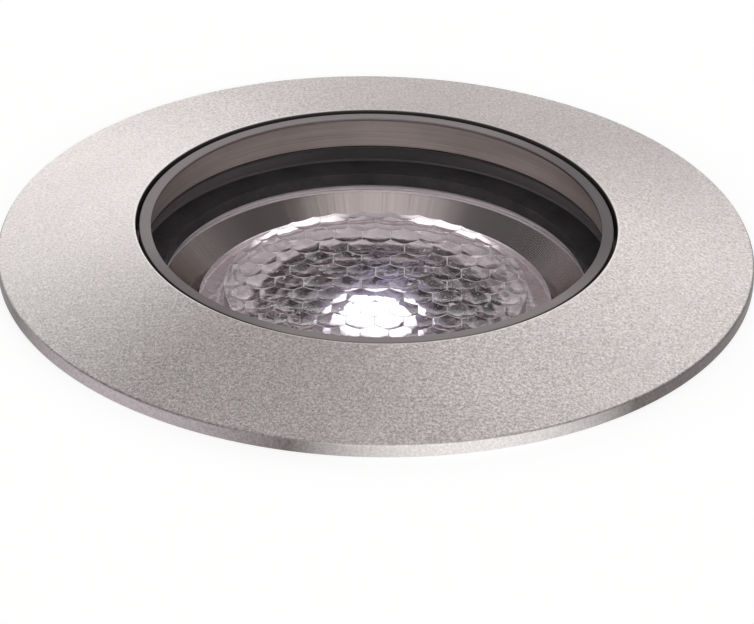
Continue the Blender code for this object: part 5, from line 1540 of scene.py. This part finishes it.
def terminal_block():
    """A two-pole terminal block: a mouth for each wire, and a screw's hole over each mouth."""
    x, y = TERMINAL_PLACE
    length, width, height = TERMINAL_SIZE
    top = COMPONENT_FOOT + height
    block = slab("terminal", TERMINAL_SIZE, (x, y, COMPONENT_FOOT + height / 2))
    round_edges(block, 1, lambda place: place.z > top - NEAR, width / 8)
    soften(block, CHIP_LEG / 2, *PLATE_SOFTENING)
    for side in (-1, 1):
        middle = y + side * TERMINAL_PITCH / 2
        bore(block, TERMINAL_SCREW, (x, middle), COMPONENT_FOOT + height / 2, top)
        centre = (x - length / 2, middle, COMPONENT_FOOT + TERMINAL_MOUTH)
        combine(block, slab("mouth", (length, TERMINAL_MOUTH, TERMINAL_MOUTH), centre))
    dress(shade(block), "terminal_block", "green_plastic")


# Pieces of the cable gland.
def nut_body(name, corner, opening, top, bottom, first_turn=0.0):
    """Six flats round an opening, their corners turned down at both ends."""
    flat = corner / HEX_CORNER_SHARE
    wide = corner + OVERRUN
    slope = math.tan(math.radians(30))
    drop = (wide - flat) * slope
    high, low = top + OVERRUN, bottom - OVERRUN
    narrow = flat - OVERRUN / slope
    outline = [(0, high), (narrow, high), (wide, top - drop)]
    outline += [(wide, bottom + drop), (narrow, low), (0, low)]
    nut = placed(prism(name, corner, bottom, top, HEX_STEPS), turn=(0, 0, first_turn))
    combine(nut, turned("blank", outline), "INTERSECT")
    return combine(nut, prism("bore", opening, low, high))


def with_flats(body, corner, opening, top, bottom):
    """A round piece of the gland, joined to the six flats for the spanner."""
    return shade(combine(body, nut_body("flats", corner, opening, top, bottom, FLATS_TURN), "UNION"))


def gland_body():
    depth, pitch = GLAND_THREAD_DEPTH, GLAND_THREAD_PITCH
    thread_bottom = GLAND_HEX_TOP + pitch
    middle = (GLAND_HEX_TOP + GLAND_HEX_BOTTOM) / 2
    outline = [(GLAND_THREAD_RADIUS - depth, LOCKNUT_TOP)]
    outline += thread(GLAND_THREAD_RADIUS, depth, LOCKNUT_TOP - depth, thread_bottom, pitch)
    outline += stairs(thread_bottom, (GLAND_THREAD_RADIUS, middle))
    outline.append((GLAND_NECK_RADIUS, middle))
    outline += thread(GLAND_NECK_RADIUS, depth, GLAND_HEX_BOTTOM - depth, GLAND_NECK_BOTTOM, pitch)
    outline.append((GLAND_NECK_RADIUS - depth, GLAND_NECK_BOTTOM))
    outline += stairs(GLAND_NECK_BOTTOM, (GLAND_NECK_BORE, GLAND_HEX_BOTTOM), (GLAND_BORE, LOCKNUT_TOP))
    sleeve = (GLAND_NECK_BORE + GLAND_NECK_RADIUS) / 2
    body = with_flats(turned("gland", outline), GLAND_HEX_CORNER, sleeve, GLAND_HEX_TOP, GLAND_HEX_BOTTOM)
    dress(body, "gland_body", "black_plastic")


def gland_washer():
    outline = stairs(WASHER_TOP, (WASHER_RADIUS, WASHER_BOTTOM), (CAP_HOLE, WASHER_TOP))
    ring("gland_washer", "black_rubber", outline, GLAND_RUBBER_ROUND)


def gland_locknut():
    opening = GLAND_THREAD_RADIUS + GLAND_THREAD_DEPTH / 2
    nut = nut_body("locknut", LOCKNUT_CORNER, opening, LOCKNUT_TOP, LOCKNUT_BOTTOM)
    dress(shade(nut), "gland_locknut", "black_plastic")


def gland_seal():
    outline = stairs(SLEEVE_TOP, (SLEEVE_RADIUS, SLEEVE_HEAD_TOP))
    outline += [(GLAND_NECK_RADIUS, SLEEVE_HEAD_TOP), (SLEEVE_RADIUS, SLEEVE_BOTTOM)]
    outline += stairs(SLEEVE_BOTTOM, (CABLE_BORE, SLEEVE_TOP))
    ring("gland_seal", "black_rubber", outline, GLAND_RUBBER_ROUND)


def gland_nut():
    """The domed nut that closes the gland."""
    inner_top = NUT_TOP - GLAND_THREAD_DEPTH
    dome_centre = (NUT_DOME_RADIUS - NUT_DOME_CURVE, NUT_BOTTOM + NUT_DOME_CURVE)
    outline = [(NUT_DOME_RADIUS, inner_top), *arc(dome_centre, NUT_DOME_CURVE, 0, -90, 16)]
    outline.append((NUT_MOUTH + NUT_MOUTH_CHAMFER, NUT_BOTTOM))
    outline += stairs(NUT_BOTTOM + NUT_MOUTH_CHAMFER, (NUT_MOUTH, NUT_SHOULDER), (NUT_BORE, inner_top))
    sleeve = (NUT_BORE + NUT_DOME_RADIUS) / 2
    nut = with_flats(turned("nut", outline), NUT_CORNER, sleeve, NUT_TOP, NUT_HEX_BOTTOM)
    dress(nut, "gland_nut", "black_plastic")


# Pieces of a sprung clip, drawn round the pin's axis and then copied round the light.
def clips(obj, node, slot, tilt=0.0, body="root"):
    """Puts a piece on the pivot, and a copy of it on each clip."""
    obj = placed(obj, (PIVOT_RADIUS, 0, PIVOT_LEVEL), (0, tilt, 0))
    round_the_light(obj, node, slot, 90, body)


def pin_hole(obj):
    bit = prism("bit", PIN_HOLE, -BRACKET_WIDTH, BRACKET_WIDTH, SCREW_STEPS)
    return combine(obj, placed(bit, turn=(QUARTER, 0, 0)))


def clip_brackets():
    """A folded plate with two ears for the pin."""
    outline = [(BRACKET_BACK, BRACKET_TOP), (BRACKET_FRONT, BRACKET_TOP), (BRACKET_FRONT, EAR_RADIUS)]
    outline += arc((0, 0), EAR_RADIUS, 90, -50, 12)
    outline += [(BRACKET_FRONT, BRACKET_BOTTOM), (BRACKET_BACK, BRACKET_BOTTOM)]
    bracket = plate("bracket", outline, BRACKET_WIDTH)
    reach = 2 * PIVOT_RADIUS
    size = (reach, BRACKET_WIDTH - 2 * BRACKET_WALL, reach)
    combine(bracket, slab("space", size, (BRACKET_FRONT + reach / 2, 0, 0)))
    round_edges(bracket, 2, lambda place: place.x < BRACKET_BACK + NEAR, BRACKET_BEND)
    round_edges(bracket, 0, lambda place: place.z > BRACKET_TOP - NEAR, BRACKET_CORNER)
    pin_hole(bracket)
    drill(bracket, CLIP_SCREW_HOLE, BRACKET_BACK - OVERRUN, BRACKET_FRONT, 0, CLIP_SCREW_RISE)
    clips(soften(bracket, FINE_ROUND, *PLATE_SOFTENING), "clip_bracket", "bright_steel")
    seat = PIVOT_RADIUS + BRACKET_FRONT + SCREW_SEAT
    screws(CLIP_SCREW, (seat, 0, PIVOT_LEVEL + CLIP_SCREW_RISE), "clip_screw", 90, QUARTER)


def clip_pins():
    """A riveted pin: its heads are domed."""
    end = PIN_REACH + PIN_HEAD_THICKNESS
    head = [(0, end)]
    head += [(PIN_HEAD_RADIUS * out, end - PIN_HEAD_THICKNESS * down) for out, down in PIN_DOME_SHARES]
    head += stairs(PIN_REACH + PIN_HEAD_EDGE, (PIN_HEAD_RADIUS, PIN_REACH))
    head.append((PIN_RADIUS, PIN_REACH))
    outline = head + [(radius, -height) for radius, height in reversed(head)]
    pin = placed(shade(turned("pin", outline, SCREW_STEPS)), turn=(QUARTER, 0, 0))
    clips(pin, "clip_pin", "bright_steel")


def clip_arms():
    """A spring-steel strip: a knuckle on the pin, a window for the spring and a tip turned in."""
    half = ARM_THICKNESS / 2
    root = math.degrees(math.asin(half / KNUCKLE_RADIUS))
    bend = (-half - ARM_BEND_RADIUS, ARM_BEND_START)
    turn = math.radians(ARM_BEND_DEGREES)
    tip = (-ARM_TIP_LENGTH * math.sin(turn), ARM_TIP_LENGTH * math.cos(turn))
    inner = arc(bend, ARM_BEND_RADIUS, 0, ARM_BEND_DEGREES)
    outer = arc(bend, ARM_BEND_RADIUS + ARM_THICKNESS, ARM_BEND_DEGREES, 0)
    outline = arc((0, 0), KNUCKLE_RADIUS, 90 - root, -270 + root, 40) + inner
    outline += [(x + tip[0], z + tip[1]) for x, z in (inner[-1], outer[0])]
    arm = plate("arm", outline + outer, ARM_WIDTH)
    reach = 4 * KNUCKLE_RADIUS
    size = (reach, ARM_WINDOW_WIDTH, ARM_WINDOW_TOP + reach)
    window = slab("window", size, (0, 0, (ARM_WINDOW_TOP - reach) / 2))
    combine(arm, soften(window, ARM_WINDOW_CORNER, 6))
    arm = soften(pin_hole(arm), FINE_ROUND, *PLATE_SOFTENING)
    clips(arm, "clip_arm", "spring_steel", CLIP_OPEN_ANGLE, "clip_{}")


def spring_leg(spring, side, step):
    """Draws the wire straight on from its open end on one side of Y, and closes it."""
    choose_edges(spring, lambda edge: edge.is_boundary and edge.verts[0].co.y * side > 0)
    extrude(step)
    bpy.ops.mesh.edge_face_add()


def clip_springs():
    """A wire wound round the pin, with a leg down the bracket and a leg on the arm, which it follows."""
    half_width = SPRING_WIDTH / 2
    start = Vector((-SPRING_RADIUS, -half_width, 0))
    clear_choice()
    bpy.ops.mesh.primitive_circle_add(vertices=SPRING_WIRE_STEPS, radius=SPRING_WIRE, location=start)
    spring = added("spring")
    steps = SPRING_STEPS * SPRING_TURNS
    winding = {"angle": math.tau * SPRING_TURNS + CLIP_OPEN_ANGLE, "screw_offset": SPRING_WIDTH}
    modify(spring, "SCREW", axis="Y", steps=steps, render_steps=steps, **winding)
    start_edit(spring, "EDGE")
    spring_leg(spring, -1, SPRING_FOOT - Vector((-SPRING_RADIUS, 0, 0)))
    out = Vector((math.sin(CLIP_OPEN_ANGLE), 0, math.cos(CLIP_OPEN_ANGLE)))
    over = Vector((-out.z, 0, out.x))
    spring_leg(spring, 1, out * SPRING_LEG + over * (SPRING_LEG_GAP - SPRING_RADIUS))
    face_outwards()
    placed(shade(spring, 60), (PIVOT_RADIUS, 0, PIVOT_LEVEL))
    for index, turn in enumerate(turns(90), 1):
        copy = placed(copied(spring), turn=(0, 0, turn))
        dress(copy, f"clip_spring_{index}", "spring_steel", None)
        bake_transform(copy)
    bpy.data.objects.remove(spring, do_unlink=True)


# The room.
def floor_paper():
    """White paper that shows as clean white and keeps a soft shadow."""
    recipe = material("floor_paper")
    straight = recipe.ray("Is Camera Ray").most(recipe.ray("Is Glossy Ray"))
    straight = straight.most(recipe.ray("Is Transmission Ray"))
    paper = recipe.add("ShaderNodeBsdfDiffuse", {}, {"Color": FLOOR_WHITE})
    faint = recipe.add("ShaderNodeBsdfDiffuse", {}, {"Color": FLOOR_FAINT})
    glow = recipe.add("ShaderNodeEmission", {}, {"Strength": FLOOR_GLOW})
    lit = recipe.add("ShaderNodeAddShader", {}, {0: faint, 1: glow})
    recipe.finish(recipe.either(straight, paper, lit))


def floor_sheet():
    """A thin white sheet level with the deck, with a round hole for the light."""
    level = (0, 0, -FLOOR_SINK)
    clear_choice()
    bpy.ops.mesh.primitive_circle_add(vertices=FLOOR_STEPS, radius=FLOOR_HOLE, location=level)
    sheet = added("floor_sheet")
    start_edit(sheet, "EDGE")
    choose_all()
    extrude((0, FLOOR_CENTRE, 0))
    wider = (FLOOR_WIDTH / FLOOR_HOLE, FLOOR_LENGTH / FLOOR_HOLE, 1)
    bpy.ops.transform.resize(value=wider, center_override=(0, FLOOR_CENTRE, 0))
    face_outwards()
    floor_paper()
    sheet.data.materials.append(FINISHES["floor_paper"])


def studio_world():
    """White all round for the camera, and for the light a pale room with a dimmer ceiling."""
    world = bpy.data.worlds.new("studio")
    bpy.context.scene.world = world
    recipe = Recipe(world)
    x, y, z = recipe.parts_of(recipe.add("ShaderNodeTexCoord", output="Generated"))
    walls = recipe.spread(z, 0.04, 0.28, 0.0, 1.95)
    across = recipe.spread(x, -0.25, 0.25, -0.25, 0.25)
    tilt = across * recipe.spread(z, 0.1, 0.8, -2.4, 3.6) * recipe.spread(y, 0.0, 0.4)
    ceiling = recipe.spread(z, 0.45, 0.78) * 1.75
    skirting = recipe.spread(z, 0.15, 0.0) * recipe.spread(y, 0.85, 0.5) * 1.6
    corners = recipe.spread(x.sum("ABSOLUTE"), 0.3, 0.6) * recipe.spread(z, 0.1, 0.4) * 0.85
    lamp = recipe.spread(z - y * 0.28 - (x * x) * 0.4, 0.8, 1.02) * 0.64
    overhead = recipe.spread(z, 0.965, 0.985) * 1.2
    level = ((walls + tilt - ceiling + skirting) * (1 - corners) + lamp + overhead).most(0.1)
    room = recipe.add("ShaderNodeBackground", {}, {"Color": ROOM_TINT, "Strength": level})
    plain = recipe.add("ShaderNodeBackground", {}, {"Color": (1, 1, 1, 1)})
    recipe.finish(recipe.either(recipe.ray("Is Camera Ray"), room, plain))


def camera():
    """The camera at the photo's angle."""
    data = bpy.data.cameras.new("photo_camera")
    data.lens = CAMERA_LENS
    data.clip_start = CAMERA_NEAREST
    data.clip_end = CAMERA_FARTHEST
    obj = bpy.data.objects.new("photo_camera", data)
    bpy.context.scene.collection.objects.link(obj)
    back = Vector((0, -math.cos(CAMERA_ELEVATION), math.sin(CAMERA_ELEVATION)))
    aim = (-back).to_track_quat("-Z", "Y").to_matrix().to_4x4()
    roll = Matrix.Rotation(CAMERA_ROLL, 4, "Z")
    drop = Matrix.Rotation(-CAMERA_DROP, 4, "X")
    aside = Matrix.Rotation(-CAMERA_ASIDE, 4, "Y")
    place = Matrix.Translation(CAMERA_TARGET + back * CAMERA_DISTANCE)
    obj.matrix_world = place @ aim @ roll @ drop @ aside
    bpy.context.scene.camera = obj


def paint_carried_nodes():
    """CAD nodes whose shape stays take the finish that their slot is named for."""
    for node in NODES.values():
        for slot in node.material_slots:
            slot.material = FINISHES[slot.material.name.split(".")[0]]


bpy.context.scene.view_settings.view_transform = "Standard"
all_finishes()
camera()
studio_world()
floor_sheet()
paint_carried_nodes()
trim_ring()
deck_gasket()
bezel_ring()
seals()
glass_window()
reflector_cup()
honeycomb_lens()
lens_holder()
led()
housing_tube()
back_cap()
cap_screws()
set_screws()
led_board_and_pad()
heat_sink()
retaining_ring()
driver_board()
driver_capacitor()
driver_inductor()
driver_chip()
terminal_block()
gland_body()
gland_washer()
gland_locknut()
gland_seal()
gland_nut()
clip_brackets()
clip_pins()
clip_arms()
clip_springs()
